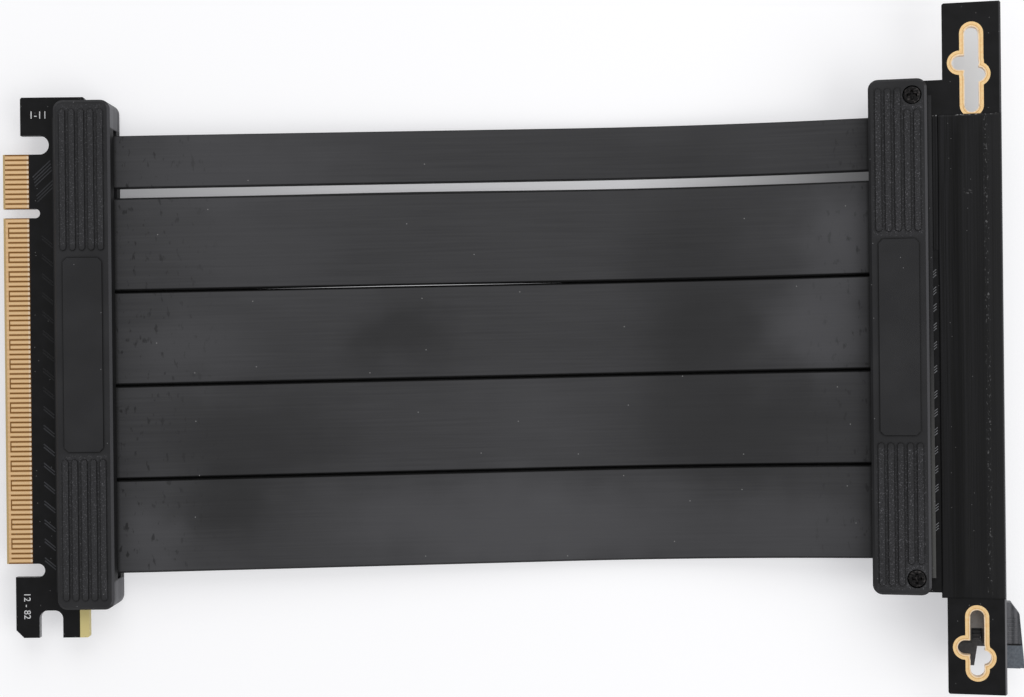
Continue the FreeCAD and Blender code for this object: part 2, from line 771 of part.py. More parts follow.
def socket_board():
    body = new_body("socket_board")
    right = S.strip_left + S.strip_width
    step_y = SHOULDER_BOTTOM + S.shoulder_step
    outline = new_sketch(body, "XY_Plane", -HALF_BOARD)
    corners = [
        (right, HALF_STRIP),
        (S.strip_left, HALF_STRIP),
        (S.strip_left, SHOULDER_TOP),
        (BOARD_EDGE, SHOULDER_TOP),
        (BOARD_EDGE, step_y),
        (S.shoulder_step_left, step_y),
        (S.shoulder_step_left, SHOULDER_BOTTOM),
        (S.strip_left, SHOULDER_BOTTOM),
        (S.strip_left, -HALF_STRIP),
        (right, -HALF_STRIP),
    ]
    draw_polygon(outline, corners)
    pad(body, outline, S.board_thickness)
    outer = [corners[0], corners[1], corners[-2], corners[-1]]
    round_edges(body, S.board_corner, lambda edge: stands_at(edge, outer), "PartDesign::Chamfer")
    cut_mounting_slots(body, HALF_BOARD, S.board_thickness)
    holes = new_sketch(body, "XY_Plane", HALF_BOARD)
    for y in (HALF_SPREAD, -HALF_SPREAD):
        draw_octagon(holes, (S.screw_inset, S.socket_cover_offset + y), BOARD_HOLE)
    pocket(body, holes, S.board_thickness)
    return finish(body, SOCKET_END)


def mounting_rings():
    """Plated lands round the mounting slots; the upper one ends at the film's edge."""
    body = new_body("mounting_rings")
    top = HALF_BOARD + S.plating
    for start, end, radius in mounting_slots():
        sketch = new_sketch(body, "XY_Plane", HALF_BOARD)
        draw_round_slot(sketch, start, end, radius + S.ring_width)
        pad(body, sketch, S.plating)
    cut_mounting_slots(body, top, S.plating)
    trim = new_sketch(body, "XY_Plane", top)
    draw_rectangle(trim, (S.strip_left, ZERO), (S.strip_left + S.strip_width, FILM_TOP + S.plating))
    pocket(body, trim, S.plating)
    return finish(body, SOCKET_END)


def insulation_film():
    body = new_body("insulation_film")
    sheet = new_sketch(body, "XY_Plane", HALF_BOARD)
    right = S.strip_left + S.strip_width - S.film_inset
    draw_rectangle(sheet, (S.shoulder_step_left, S.film_bottom_end - HALF_STRIP), (right, FILM_TOP))
    pad(body, sheet, S.film_thickness)
    return finish(body, SOCKET_END)


# Slot connector

HOUSING_TOP = S.socket_cover_offset + S.tongue_top + S.housing_end
HOUSING_BOTTOM = S.socket_cover_offset + TONGUE_BOTTOM - S.housing_end
TOWER_END = HOUSING_BOTTOM - S.tower_reach
PIVOT_Y = TOWER_END + S.pivot_inset
PIVOT_Z = -(HALF_BOARD + S.pivot_depth)


def socket_housing():
    body = new_body("socket_housing")
    half = S.housing_width / 2
    block = new_sketch(body, "XY_Plane", MOUTH)
    draw_rectangle(block, (SLOT_AXIS - half, HOUSING_BOTTOM), (SLOT_AXIS + half, HOUSING_TOP))
    pad(body, block, S.housing_height)
    tower = new_sketch(body, "XY_Plane", -(HALF_BOARD + S.tower_standoff + S.tower_height))
    tower_half = S.tower_width / 2
    draw_rectangle(tower, (SLOT_AXIS - tower_half, TOWER_END), (SLOT_AXIS + tower_half, HOUSING_BOTTOM))
    pad(body, tower, S.tower_height)
    channel = new_sketch(body, "XY_Plane", MOUTH)
    channel_half = S.tower_channel / 2
    roof_end = TOWER_END + S.channel_open
    channel_low = (SLOT_AXIS - channel_half, TOWER_END)
    draw_rectangle(channel, channel_low, (SLOT_AXIS + channel_half, roof_end))
    pocket(body, channel, S.housing_height, upwards=True)
    hollow = new_sketch(body, "XY_Plane", MOUTH)
    draw_rectangle(hollow, (SLOT_AXIS - channel_half, roof_end), (SLOT_AXIS + channel_half, HOUSING_BOTTOM))
    pocket(body, hollow, S.housing_height - S.tower_standoff - S.channel_roof, upwards=True)
    wells = new_sketch(body, "XY_Plane", MOUTH)
    well_half = S.well_width / 2
    offset = S.socket_cover_offset
    sections = [
        (offset + KEY_TOP - S.card_play, offset + S.tongue_top + S.card_play),
        (offset + TONGUE_BOTTOM - S.card_play, offset + KEY_BOTTOM + S.card_play),
    ]
    for low, high in sections:
        draw_rectangle(wells, (SLOT_AXIS - well_half, low), (SLOT_AXIS + well_half, high))
    pocket(body, wells, S.well_depth, upwards=True)
    bore = new_sketch(body, "YZ_Plane", SLOT_AXIS)
    draw_circle(bore, (PIVOT_Y, PIVOT_Z), S.pivot_radius + S.pivot_clearance)
    pocket(body, bore, S.tower_width, both_ways=True)
    return finish(body, SOCKET_END)


def spring_contacts(label, side):
    """One row of spring strips that stand on the floor of the wells and lean towards the card."""
    floor = MOUTH.value + S.well_depth.value
    tip = MOUTH.value + S.spring_tip_depth.value
    thickness = S.spring_thickness.value
    line = [(S.spring_foot.value, floor), (S.spring_lean.value, tip)]
    line += [(u + thickness, z) for u, z in reversed(line)]
    width = S.spring_width.value
    points = [Vector(SLOT_AXIS.value + side * u, -width / 2, z) for u, z in line]
    strip = Part.Face(Part.makePolygon(points + points[:1])).extrude(Vector(0, width, 0))
    strips = []
    for row in contact_rows():
        copy = strip.copy()
        copy.translate(Vector(0, S.socket_cover_offset.value + row, 0))
        strips.append(copy)
    return solid_feature(label, Part.makeCompound(strips), SOCKET_END)


# Latch


def socket_latch():
    """Hook arm in the tower's channel, trunnions, and a cross bar with the thumb paddle beyond the board."""
    body = new_body("socket_latch")
    bar_inner = TOWER_END - S.bar_gap
    bar_outer = bar_inner - S.bar_width
    bar_high = PIVOT_Z - S.bar_top
    bar_low = bar_high - S.bar_thickness
    arm = new_sketch(body, "YZ_Plane", SLOT_AXIS)
    hook_face = PIVOT_Y + S.arm_inner
    nose = PIVOT_Y + S.nose_reach
    nose_low = PIVOT_Z - S.nose_bottom
    corners = [
        (hook_face, PIVOT_Z + S.arm_top),
        (hook_face, PIVOT_Z - S.nose_top),
        (nose, PIVOT_Z - S.nose_top),
        (nose - S.nose_slope, nose_low),
        (PIVOT_Y, nose_low),
        (bar_inner, bar_low),
        (bar_outer, bar_low),
        (bar_outer, bar_high),
        (bar_inner, bar_high),
        (PIVOT_Y - S.arm_inner, PIVOT_Z + S.arm_top),
    ]
    draw_polygon(arm, corners)
    pad(body, arm, S.arm_thickness, both_ways=True)
    trunnions = new_sketch(body, "YZ_Plane", SLOT_AXIS)
    draw_circle(trunnions, (PIVOT_Y, PIVOT_Z), S.pivot_radius)
    pad(body, trunnions, S.tower_width, both_ways=True)
    thumb = new_sketch(body, "XY_Plane", bar_low)
    paddle_near = bar_inner + S.paddle_near
    paddle_far = bar_outer - S.paddle_far
    tab_outer = bar_inner - S.tab_width
    spine_end = bar_outer - S.spine_reach
    plan = [
        (-S.tab_reach, bar_inner),
        (S.paddle_inner, bar_inner),
        (S.paddle_inner, paddle_near),
        (S.paddle_shoulder, paddle_near),
        (S.paddle_bend, paddle_near - S.paddle_bend_drop),
        (S.paddle_outer, paddle_far),
        (S.paddle_inner, paddle_far),
        (S.paddle_inner, bar_outer),
        (S.spine_root, bar_outer),
        (-S.spine_tip, spine_end),
        (-S.spine_left, spine_end),
        (-S.spine_left, tab_outer),
        (-S.tab_reach, tab_outer),
    ]
    draw_polygon(thumb, [(SLOT_AXIS + x, y) for x, y in plan])
    pad(body, thumb, S.bar_thickness)
    grip = new_sketch(body, "XY_Plane", bar_high)
    grip_low = (SLOT_AXIS + S.paddle_inner, paddle_far)
    draw_rectangle(grip, grip_low, (SLOT_AXIS + S.paddle_bend, bar_inner - S.grip_end))
    pad(body, grip, S.grip_height)
    return finish(body, SOCKET_END)


def build():
    """Every piece of the cable, from the plug to the latch."""
    pieces = [
        plug_board(),
        plug_contacts("plug_contacts_front", True),
        plug_contacts("plug_contacts_back", False),
    ]
    plug_front = PLUG_END * COVER_ON_PLUG
    plug_back = plug_front * TURNED_OVER
    socket_front = SOCKET_END * COVER_ON_SOCKET
    socket_back = socket_front * TURNED_OVER
    pieces += [
        conductor_ends("plug_conductors_front", plug_back, False),
        conductor_ends("plug_conductors_back", plug_back, True),
        cover("plug_cover_front", plug_front, driven=False),
        cover("plug_cover_back", plug_back, driven=True),
        cover_screws("plug_cover_screws", plug_back),
    ]
    path = ribbon_path()
    for layer in ("front", "back"):
        for name, edge, width in ribbon_rows():
            pieces.append(ribbon(name.format(layer), path, edge, width, layer == "front"))
    pieces += [
        conductor_ends("socket_conductors_front", socket_front, True),
        conductor_ends("socket_conductors_back", socket_front, False),
        socket_board(),
        mounting_rings(),
        insulation_film(),
        cover("socket_cover_front", socket_front, driven=True),
        cover("socket_cover_back", socket_back, driven=False),
        cover_screws("socket_cover_screws", socket_front),
        socket_housing(),
        spring_contacts("socket_contacts_left", -1),
        spring_contacts("socket_contacts_right", 1),
        socket_latch(),
    ]
    DOC.recompute()
    return pieces


def write_parts(pieces):
    """Check every object and shape, then write one file for each piece."""
    for item in DOC.Objects:
        if "Invalid" in item.State or "Error" in item.State:
            raise RuntimeError(f"{item.Label} failed: {item.State}")
    for piece in pieces:
        if piece.Shape.isNull() or not piece.Shape.isValid():
            raise RuntimeError(f"{piece.Label} has no valid shape")
    os.makedirs("parts", exist_ok=True)
    for piece in pieces:
        piece.Shape.exportStep(f"parts/{piece.Label}.step")


write_parts(build())
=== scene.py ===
"""Looks of a card-edge extension cable: its fingers, ribbons, screws, springs, film and finishes.

Sizes are in millimetres and go to metres where a mesh is placed. X runs along the cable, Y along the
connectors and Z up. The plug's own frame starts at the tip of its tongue, and the socket's at the cable
side of its covers, tilted as that end lies.
"""
import math

import bmesh
import bpy
from mathutils import Matrix, Vector, noise

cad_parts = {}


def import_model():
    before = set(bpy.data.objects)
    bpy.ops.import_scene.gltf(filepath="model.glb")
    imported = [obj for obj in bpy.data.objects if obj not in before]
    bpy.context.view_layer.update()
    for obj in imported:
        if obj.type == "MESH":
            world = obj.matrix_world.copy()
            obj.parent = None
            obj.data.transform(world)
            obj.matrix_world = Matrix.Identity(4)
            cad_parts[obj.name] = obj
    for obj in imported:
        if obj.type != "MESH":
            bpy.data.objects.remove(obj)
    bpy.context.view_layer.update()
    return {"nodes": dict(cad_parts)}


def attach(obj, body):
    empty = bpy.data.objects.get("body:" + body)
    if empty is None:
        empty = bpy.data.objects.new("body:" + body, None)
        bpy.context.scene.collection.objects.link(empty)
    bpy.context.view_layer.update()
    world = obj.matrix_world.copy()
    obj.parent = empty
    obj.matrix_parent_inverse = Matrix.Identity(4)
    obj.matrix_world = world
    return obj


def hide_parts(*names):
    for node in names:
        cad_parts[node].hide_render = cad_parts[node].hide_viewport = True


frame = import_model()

MM = 0.001
BODY = "cable"
LATCH_BODY = "latch"

# The two ends, as the solids have them
TILT = math.radians(13.0)
PLUG_AT = Vector((-104.628, 0.56, 5.1))
SOCKET_AT = Vector((73.372, 0.0, 7.9845))
SOCKET_COVER_Y = 2.44
PLUG_REACH = 23.0
PLUG_FACE_X = PLUG_AT.x + PLUG_REACH
HALF_BOARD = 0.8
PLATING = 0.05
SLOT_AXIS = 20.45
UP = (0.0, 0.0, 1.0)
TOWARDS_SOCKET = (1.0, 0.0, 0.0)
SOCKET_FACE = (-math.sin(TILT), 0.0, math.cos(TILT))
SOCKET_OUT = (math.cos(TILT), 0.0, math.sin(TILT))
TO_METRES = Matrix.Scale(MM, 4)
PLUG_PLACE = TO_METRES @ Matrix.Translation(PLUG_AT)
SOCKET_PLACE = TO_METRES @ Matrix.Translation(SOCKET_AT) @ Matrix.Rotation(-TILT, 4, "Y")
PLUG_COVER_BACK = PLUG_PLACE @ Matrix.Translation((PLUG_REACH, 0, 0)) @ Matrix.Rotation(math.pi, 4, "Z")
PLUG_COVER_BACK = PLUG_COVER_BACK @ Matrix.Rotation(math.pi, 4, "X")
SOCKET_COVER_FRONT = SOCKET_PLACE @ Matrix.Translation((0, SOCKET_COVER_Y, 0))

# The ribbons' run between the covers, and how far they lie askew
RIBBON_RUN = 155.0
RIBBON_INSET = 4.7
SOCKET_SHIFT = 1.88
RIBBON_SKEW = math.atan2(SOCKET_SHIFT, RIBBON_RUN + RIBBON_INSET * (1 + math.cos(TILT)))

# Contact rows along Y: the first contact from the middle of the covers, and the count; the fingers' inner end
PITCH = 1.0
SHORT_ROW = (40.71, 11)
LONG_ROW = (27.71, 71)
FINGER_END = 5.35


# Mesh and node helpers


def linear(hex_colour):
    """An sRGB hex value as a linear colour with full alpha."""
    channels = [int(hex_colour[index:index + 2], 16) / 255 for index in (1, 3, 5)]
    return [c / 12.92 if c <= 0.04045 else ((c + 0.055) / 1.055) ** 2.4 for c in channels] + [1.0]


def add_node(tree, kind, settings=(), inputs=()):
    """Add a node with its settings; an input takes a socket to link, a hex colour or a plain value."""
    node = tree.nodes.new(kind)
    for name, value in dict(settings).items():
        setattr(node, name, value)
    for name, value in dict(inputs).items():
        if isinstance(value, bpy.types.NodeSocket):
            tree.links.new(value, node.inputs[name])
        elif isinstance(value, str):
            node.inputs[name].default_value = linear(value)
        else:
            node.inputs[name].default_value = value
    return node


def new_object(name, data):
    """Put a mesh, a curve, a light or a camera in the scene as an object."""
    obj = bpy.data.objects.new(name, data)
    bpy.context.scene.collection.objects.link(obj)
    return obj


def piece(name, mesh, body, material, replaced=()):
    """Make a finished mesh a piece that moves with a body, takes a slot and stands for CAD nodes."""
    obj = new_object(name, mesh)
    mesh.materials.clear()
    mesh.materials.append(material)
    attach(obj, body)
    if replaced:
        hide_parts(*replaced)


def mesh_from(work, name, place=TO_METRES):
    """Turn a bmesh in millimetres into a mesh in metres at its place."""
    bmesh.ops.recalc_face_normals(work, faces=work.faces)
    mesh = bpy.data.meshes.new(name)
    work.to_mesh(mesh)
    work.free()
    mesh.transform(place)
    return mesh


BOX_QUADS = ((0, 2, 3, 1), (4, 5, 7, 6), (0, 1, 5, 4), (2, 6, 7, 3), (0, 4, 6, 2), (1, 3, 7, 5))


def add_box(work, low, high):
    """A box between its lowest and its highest corner."""
    xs, ys, zs = zip(low, high)
    verts = [work.verts.new((x, y, z)) for z in zs for y in ys for x in xs]
    for quad in BOX_QUADS:
        work.faces.new([verts[index] for index in quad])


def join_loops(work, first, second):
    """Quads between two closed outlines of equal counts."""
    count = len(first)
    for index in range(count):
        following = (index + 1) % count
        work.faces.new((first[index], first[following], second[following], second[index]))


def add_prism(work, outline, low, high):
    """A closed plan outline between two heights."""
    bottom = [work.verts.new((x, y, low)) for x, y in outline]
    top = [work.verts.new((x, y, high)) for x, y in outline]
    work.faces.new(bottom[::-1])
    work.faces.new(top)
    join_loops(work, bottom, top)


def evaluated_mesh(obj, name):
    """The plain mesh that an object's modifiers give; the object itself is removed."""
    bpy.context.view_layer.update()
    graph = bpy.context.evaluated_depsgraph_get()
    mesh = bpy.data.meshes.new_from_object(obj.evaluated_get(graph))
    mesh.name = name
    bpy.data.objects.remove(obj)
    return mesh


# Geometry Nodes trees


def new_tree(name, sizes):
    """A geometry tree with a geometry input, named inputs and a geometry output."""
    tree = bpy.data.node_groups.new(name, "GeometryNodeTree")
    tree.interface.new_socket("Geometry", in_out="INPUT", socket_type="NodeSocketGeometry")
    for size_name, kind in sizes:
        tree.interface.new_socket(size_name, in_out="INPUT", socket_type=kind)
    tree.interface.new_socket("Geometry", in_out="OUTPUT", socket_type="NodeSocketGeometry")
    return tree, add_node(tree, "NodeGroupInput")


def end_tree(tree, geometry, material):
    """Make copies real and give them their material, as the last steps of a tree."""
    real = add_node(tree, "GeometryNodeRealizeInstances", {}, {"Geometry": geometry})
    coloured = add_node(
        tree, "GeometryNodeSetMaterial", {}, {"Geometry": real.outputs["Geometry"], "Material": material},
    )
    add_node(tree, "NodeGroupOutput", {}, {"Geometry": coloured.outputs["Geometry"]})


def set_inputs(obj, tree, values):
    """Give an object the tree as a modifier, with its inputs set by their identifiers."""
    modifier = obj.modifiers.new(tree.name, "NODES")
    modifier.node_group = tree
    for item in tree.interface.items_tree:
        if item.in_out == "INPUT" and item.name in values:
            modifier[item.identifier] = values[item.name]


def row_tree():
    """Copies of one element along a straight row."""
    sizes = [
        ("Count", "NodeSocketInt"),
        ("Start", "NodeSocketVector"),
        ("Step", "NodeSocketVector"),
        ("Material", "NodeSocketMaterial"),
    ]
    tree, given = new_tree("row_of_copies", sizes)
    line = add_node(
        tree, "GeometryNodeMeshLine", {"mode": "OFFSET"},
        {"Count": given.outputs["Count"], "Start Location": given.outputs["Start"],
         "Offset": given.outputs["Step"]},
    )
    copies = add_node(
        tree, "GeometryNodeInstanceOnPoints", {},
        {"Points": line.outputs["Mesh"], "Instance": given.outputs["Geometry"]},
    )
    end_tree(tree, copies.outputs["Instances"], given.outputs["Material"])
    return tree


def band_tree():
    """A flat band with rounded edges along a path."""
    sizes = [
        ("Width", "NodeSocketFloat"),
        ("Thickness", "NodeSocketFloat"),
        ("Edge Radius", "NodeSocketFloat"),
        ("Material", "NodeSocketMaterial"),
    ]
    tree, given = new_tree("flat_band", sizes)
    outline = add_node(
        tree, "GeometryNodeCurvePrimitiveQuadrilateral", {"mode": "RECTANGLE"},
        {"Width": given.outputs["Width"], "Height": given.outputs["Thickness"]},
    )
    rounded = add_node(
        tree, "GeometryNodeFilletCurve", {"mode": "POLY"},
        {"Count": 5, "Curve": outline.outputs["Curve"], "Radius": given.outputs["Edge Radius"]},
    )
    band = add_node(
        tree, "GeometryNodeCurveToMesh", {},
        {"Fill Caps": True, "Curve": given.outputs["Geometry"], "Profile Curve": rounded.outputs["Curve"]},
    )
    end_tree(tree, band.outputs["Mesh"], given.outputs["Material"])
    return tree


ROW_TREE = row_tree()
BAND_TREE = band_tree()


def rows_of(name, element, rows, material, place):
    """One mesh with copies of a small element along several rows, each with a start, a step and a count."""
    element_mesh = mesh_from(element, f"{name}_element", Matrix.Identity(4))
    joined = bmesh.new()
    for start, step, count in rows:
        carrier = new_object(name, element_mesh)
        values = {"Count": count, "Start": start, "Step": step, "Material": material}
        set_inputs(carrier, ROW_TREE, values)
        joined.from_mesh(evaluated_mesh(carrier, name))
    return mesh_from(joined, name, place)


# Patterns that the finishes share


def start_material(name):
    """An empty material, its tree and the object coordinates that its patterns read."""
    material = bpy.data.materials.new(name)
    material.use_nodes = True
    material.node_tree.nodes.clear()
    place = add_node(material.node_tree, "ShaderNodeTexCoord").outputs["Object"]
    return material, material.node_tree, place


def end_material(material, finish):
    """Give a material its shader, with colours, numbers or patterns on the shader's own sockets."""
    tree = material.node_tree
    shader = add_node(tree, "ShaderNodeBsdfPrincipled", {}, finish)
    add_node(tree, "ShaderNodeOutputMaterial", {}, {"Surface": shader.outputs["BSDF"]})
    return material


def lay_coats(tree, ground, coats):
    """Lay coats of colour over a ground, each by the product of its shares."""
    for colour, share, *others in coats:
        for other in others:
            product = add_node(tree, "ShaderNodeMath", {"operation": "MULTIPLY"}, {0: share, 1: other})
            share = product.outputs[0]
        blend = add_node(tree, "ShaderNodeMix", {"data_type": "RGBA"}, {0: share, 6: ground, 7: colour})
        ground = blend.outputs[2]
    return ground


def grain(tree, place, size, detail=2.0, stretch=(1.0, 1.0, 1.0), levels=(0.3, 0.7), turn=0.0):
    """A grain of a real size, drawn out along some axes and spread between two levels of its noise."""
    drawn = add_node(
        tree, "ShaderNodeMapping", {"vector_type": "TEXTURE"},
        {"Vector": place, "Scale": stretch, "Rotation": (0, 0, turn)},
    )
    cloud = add_node(
        tree, "ShaderNodeTexNoise", {},
        {"Vector": drawn.outputs[0], "Scale": 1 / (size * MM), "Detail": detail},
    )
    spread = add_node(tree, "ShaderNodeMapRange", {}, {0: cloud.outputs[0], 1: levels[0], 2: levels[1]})
    return spread.outputs[0]


def distance_from(tree, value, middle):
    """How far a coordinate is from a place, which is given in millimetres."""
    offset = add_node(tree, "ShaderNodeMath", {"operation": "SUBTRACT"}, {0: value, 1: middle * MM})
    return add_node(tree, "ShaderNodeMath", {"operation": "ABSOLUTE"}, {0: offset.outputs[0]}).outputs[0]


def within(tree, value, middle, reach, soft):
    """One where a coordinate is within a reach of a place, in millimetres, with a soft border."""
    away = distance_from(tree, value, middle)
    inside = add_node(tree, "ShaderNodeMapRange", {}, {0: away, 1: (reach + soft) * MM, 2: reach * MM})
    return inside.outputs[0]


def turned_to(tree, direction):
    """The cosine of a face's angle to a direction."""
    normal = add_node(tree, "ShaderNodeNewGeometry").outputs["True Normal"]
    along = add_node(tree, "ShaderNodeVectorMath", {"operation": "DOT_PRODUCT"}, {0: normal, 1: direction})
    return along.outputs["Value"]


def facing(tree, direction, start, full):
    """One where faces look along a direction; the two cosines are where that starts and where it is full."""
    cosine = turned_to(tree, direction)
    return add_node(tree, "ShaderNodeMapRange", {}, {0: cosine, 1: start, 2: full}).outputs[0]


def edge_on(tree, direction, start, full):
    """One where faces stand across a direction, whichever way they look along it."""
    lying_flat = distance_from(tree, turned_to(tree, direction), 0.0)
    return add_node(tree, "ShaderNodeMapRange", {}, {0: lying_flat, 1: start, 2: full}).outputs[0]


def dust(tree, place, spacing, size, kept):
    """Sparse specks: a share of the cells of a scattered grid hold one speck each."""
    cells = add_node(
        tree, "ShaderNodeTexVoronoi", {"voronoi_dimensions": "2D"},
        {"Vector": place, "Scale": 1 / (spacing * MM)},
    )
    ratio = size / spacing
    near = add_node(tree, "ShaderNodeMapRange", {}, {0: cells.outputs["Distance"], 1: ratio, 2: ratio / 2})
    chosen = add_node(tree, "ShaderNodeSeparateColor", {}, {0: cells.outputs["Color"]})
    held = add_node(tree, "ShaderNodeMath", {"operation": "LESS_THAN"}, {0: chosen.outputs[0], 1: kept})
    specks = add_node(
        tree, "ShaderNodeMath", {"operation": "MULTIPLY"}, {0: near.outputs[0], 1: held.outputs[0]},
    )
    return specks.outputs[0]


def occlusion_shade_share(tree, depth):
    """The share of painted shade: one in inner corners and in slits narrower than a depth, nought in the
    open.
    """
    light = add_node(tree, "ShaderNodeAmbientOcclusion", {"samples": 6}, {"Distance": depth * MM})
    levels = {0: light.outputs["AO"], 1: OPEN_LIGHT, 2: SHUT_LIGHT}
    return add_node(tree, "ShaderNodeMapRange", {}, levels).outputs[0]


def wander(tree, place, size, reach):
    """Coordinates that wander by a reach, so that a shape drawn on them loses its plain outline."""
    cloud = add_node(
        tree, "ShaderNodeTexNoise", {}, {"Vector": place, "Scale": 1 / (size * MM), "Detail": 2.0},
    )
    centred = add_node(
        tree, "ShaderNodeVectorMath", {"operation": "SUBTRACT"},
        {0: cloud.outputs["Color"], 1: (0.5, 0.5, 0.5)},
    )
    moved = add_node(
        tree, "ShaderNodeVectorMath", {"operation": "MULTIPLY_ADD"},
        {0: centred.outputs[0], 1: (2 * reach * MM, 2 * reach * MM, 0.0), 2: place},
    )
    return moved.outputs[0]


def soft_patch(tree, place, middle, size):
    """One round a place on the part, falling smoothly to nought at the rim of an oval."""
    location = (middle[0] * MM, middle[1] * MM, 0)
    scale = (size[0] * MM, size[1] * MM, 1)
    centred = add_node(
        tree, "ShaderNodeMapping", {"vector_type": "TEXTURE"},
        {"Vector": place, "Location": location, "Scale": scale},
    )
    ball = add_node(
        tree, "ShaderNodeTexGradient", {"gradient_type": "SPHERICAL"}, {"Vector": centred.outputs[0]},
    )
    smooth = add_node(
        tree, "ShaderNodeMapRange", {"interpolation_type": "SMOOTHERSTEP"},
        {0: ball.outputs["Fac"], 1: 0.0, 2: 0.95},
    )
    return smooth.outputs[0]


# Finishes

# The covers' ribs, as they lie: along Y from the middle of both covers, and across each cover
RIB_MIDDLE_Y = 1.5
RIB_MIDDLE = 35.7
RIB_REACH = 13.9
RIB_SPREAD = 4.4
PLUG_RIBS_X = PLUG_AT.x + 17.1
SOCKET_RIBS_X = SOCKET_AT.x + 4.6

# The covers' rims towards the cable and the strip, which take painted highlights, the lip's top, where its
# painted highlight grows along Y, and the middle of the plug cover's end walls past the ribbons, which take
# painted light
PLUG_RIM = (math.sqrt(0.5), 0.0, math.sqrt(0.5))
SOCKET_RIM = tuple((Vector(SOCKET_OUT) + Vector(SOCKET_FACE)).normalized())
LIP_X = SOCKET_AT.x + 12.05 * math.cos(TILT) - 1.7 * math.sin(TILT)
LIP_HIGHLIGHT_SPREAD = (5.0, -30.0)
END_WALL = 50.0

# The strip's outer edge, and the film's valley, row of pins, upper edge and a dusty smear, as they lie
STRIP_EDGE_X = SOCKET_AT.x + 26.2 * math.cos(TILT) - HALF_BOARD * math.sin(TILT)
FILM_VALLEY_X = SOCKET_AT.x + 17.2 * math.cos(TILT)
FILM_PINS_X = SOCKET_AT.x + 22.85 * math.cos(TILT)
FILM_EDGE = 47.3
FILM_SMEAR = (91.9, 31.6)

# The latch tower's top under the mounting slot, and the latch's paddle: where it starts, its upper part, the
# ridges along it and the fold between its parts, as they lie
TOWER_Y = -54.5
PADDLE_FROM_X = (96.5, 97.5)
PADDLE_UPPER_Y = (-60.9, -60.6)
PADDLE_RIDGES_X = (101.0, 102.4)
PADDLE_FOLD_Y = -60.7

# Bare laminate on the plug board, from the tongue's tip and the board's middle: a middle and a reach each
TONGUE_X = (2.6, 2.8)
TONGUE_Y = (-0.75, 43.75)
TAIL_X = (18.0, 3.0)
TAIL_Y = (-57.05, 5.0)
BEVEL_REACH = 0.47
SHARP = 0.02

# Where along Y pale edges of the boards and the strip's painted highlight fade, and where the painted sheen
# on the film's drawn lines does
BOARD_FADES = (60.0, -60.0)
STRIP_HIGHLIGHT_FADES = (70.0, -50.0)
FILM_SHEEN_FADES = (-50.0, 30.0)

# The strip's painted highlight past its edge, the fingers' joining strip past their tips, and the faint
# traces
# along Y: a middle, a reach and a soft border each
STRIP_EDGE_HIGHLIGHT = (STRIP_EDGE_X + 0.2, 0.45, 0.15)
FINGERS_JOINED = (PLUG_AT.x + 0.6, 0.4, 0.1)
FAINT_TRACES = (10.0, 17.0, 12.0)

# Distances from a finger's middle line where the painted highlight on its crown starts and where it is full
FINGER_CROWN_HIGHLIGHT = (0.42, 0.1)

# Light that reaches a place in the open, and one that is shut in
OPEN_LIGHT = 0.97
SHUT_LIGHT = 0.55

# Distances from the cable's middle where scuffs on the ribbons start and where they are full
SCUFFED = (58.0, 82.0)

# Painted shade and painted sheen patches on the ribbons: middle, size, strength and tone
# The darker tone is painted shade and also the scuffs' colour; the paler tone is painted sheen
SHADE_AND_SCUFF_TONE = "#232324"
SHEEN_TONE = "#525255"
JACKET_SHADE_AND_SHEEN_PATCHES = [
    ((37.0, 14.0), (22.0, 56.0), 0.42, SHADE_AND_SCUFF_TONE),
    ((39.0, 3.0), (19.0, 18.0), 0.45, SHADE_AND_SCUFF_TONE),
    ((47.0, -16.0), (33.0, 18.0), 0.55, SHADE_AND_SCUFF_TONE),
    ((-23.0, 4.5), (19.0, 13.0), 0.6, SHADE_AND_SCUFF_TONE),
    ((-53.0, -17.0), (31.0, 17.0), 0.52, SHADE_AND_SCUFF_TONE),
    ((-59.0, -30.0), (17.0, 13.0), 0.6, SHADE_AND_SCUFF_TONE),
    ((16.0, 42.0), (42.0, 12.0), 0.15, SHADE_AND_SCUFF_TONE),
    ((-58.0, 39.0), (40.0, 16.0), 0.4, SHEEN_TONE),
    ((-54.0, 21.0), (34.0, 16.0), 0.22, SHEEN_TONE),
    ((70.0, 23.0), (20.0, 18.0), 0.75, SHEEN_TONE),
    ((63.0, 5.0), (17.0, 17.0), 0.65, SHEEN_TONE),
    ((-1.0, -36.0), (62.0, 18.0), 0.6, SHEEN_TONE),
    ((62.0, -38.0), (34.0, 14.0), 0.35, SHEEN_TONE),
    ((-75.0, -38.0), (12.0, 16.0), 0.45, SHEEN_TONE),
    ((2.0, -15.0), (30.0, 14.0), 0.2, SHEEN_TONE),
    ((-68.0, 2.0), (24.0, 14.0), 0.3, SHEEN_TONE),
]


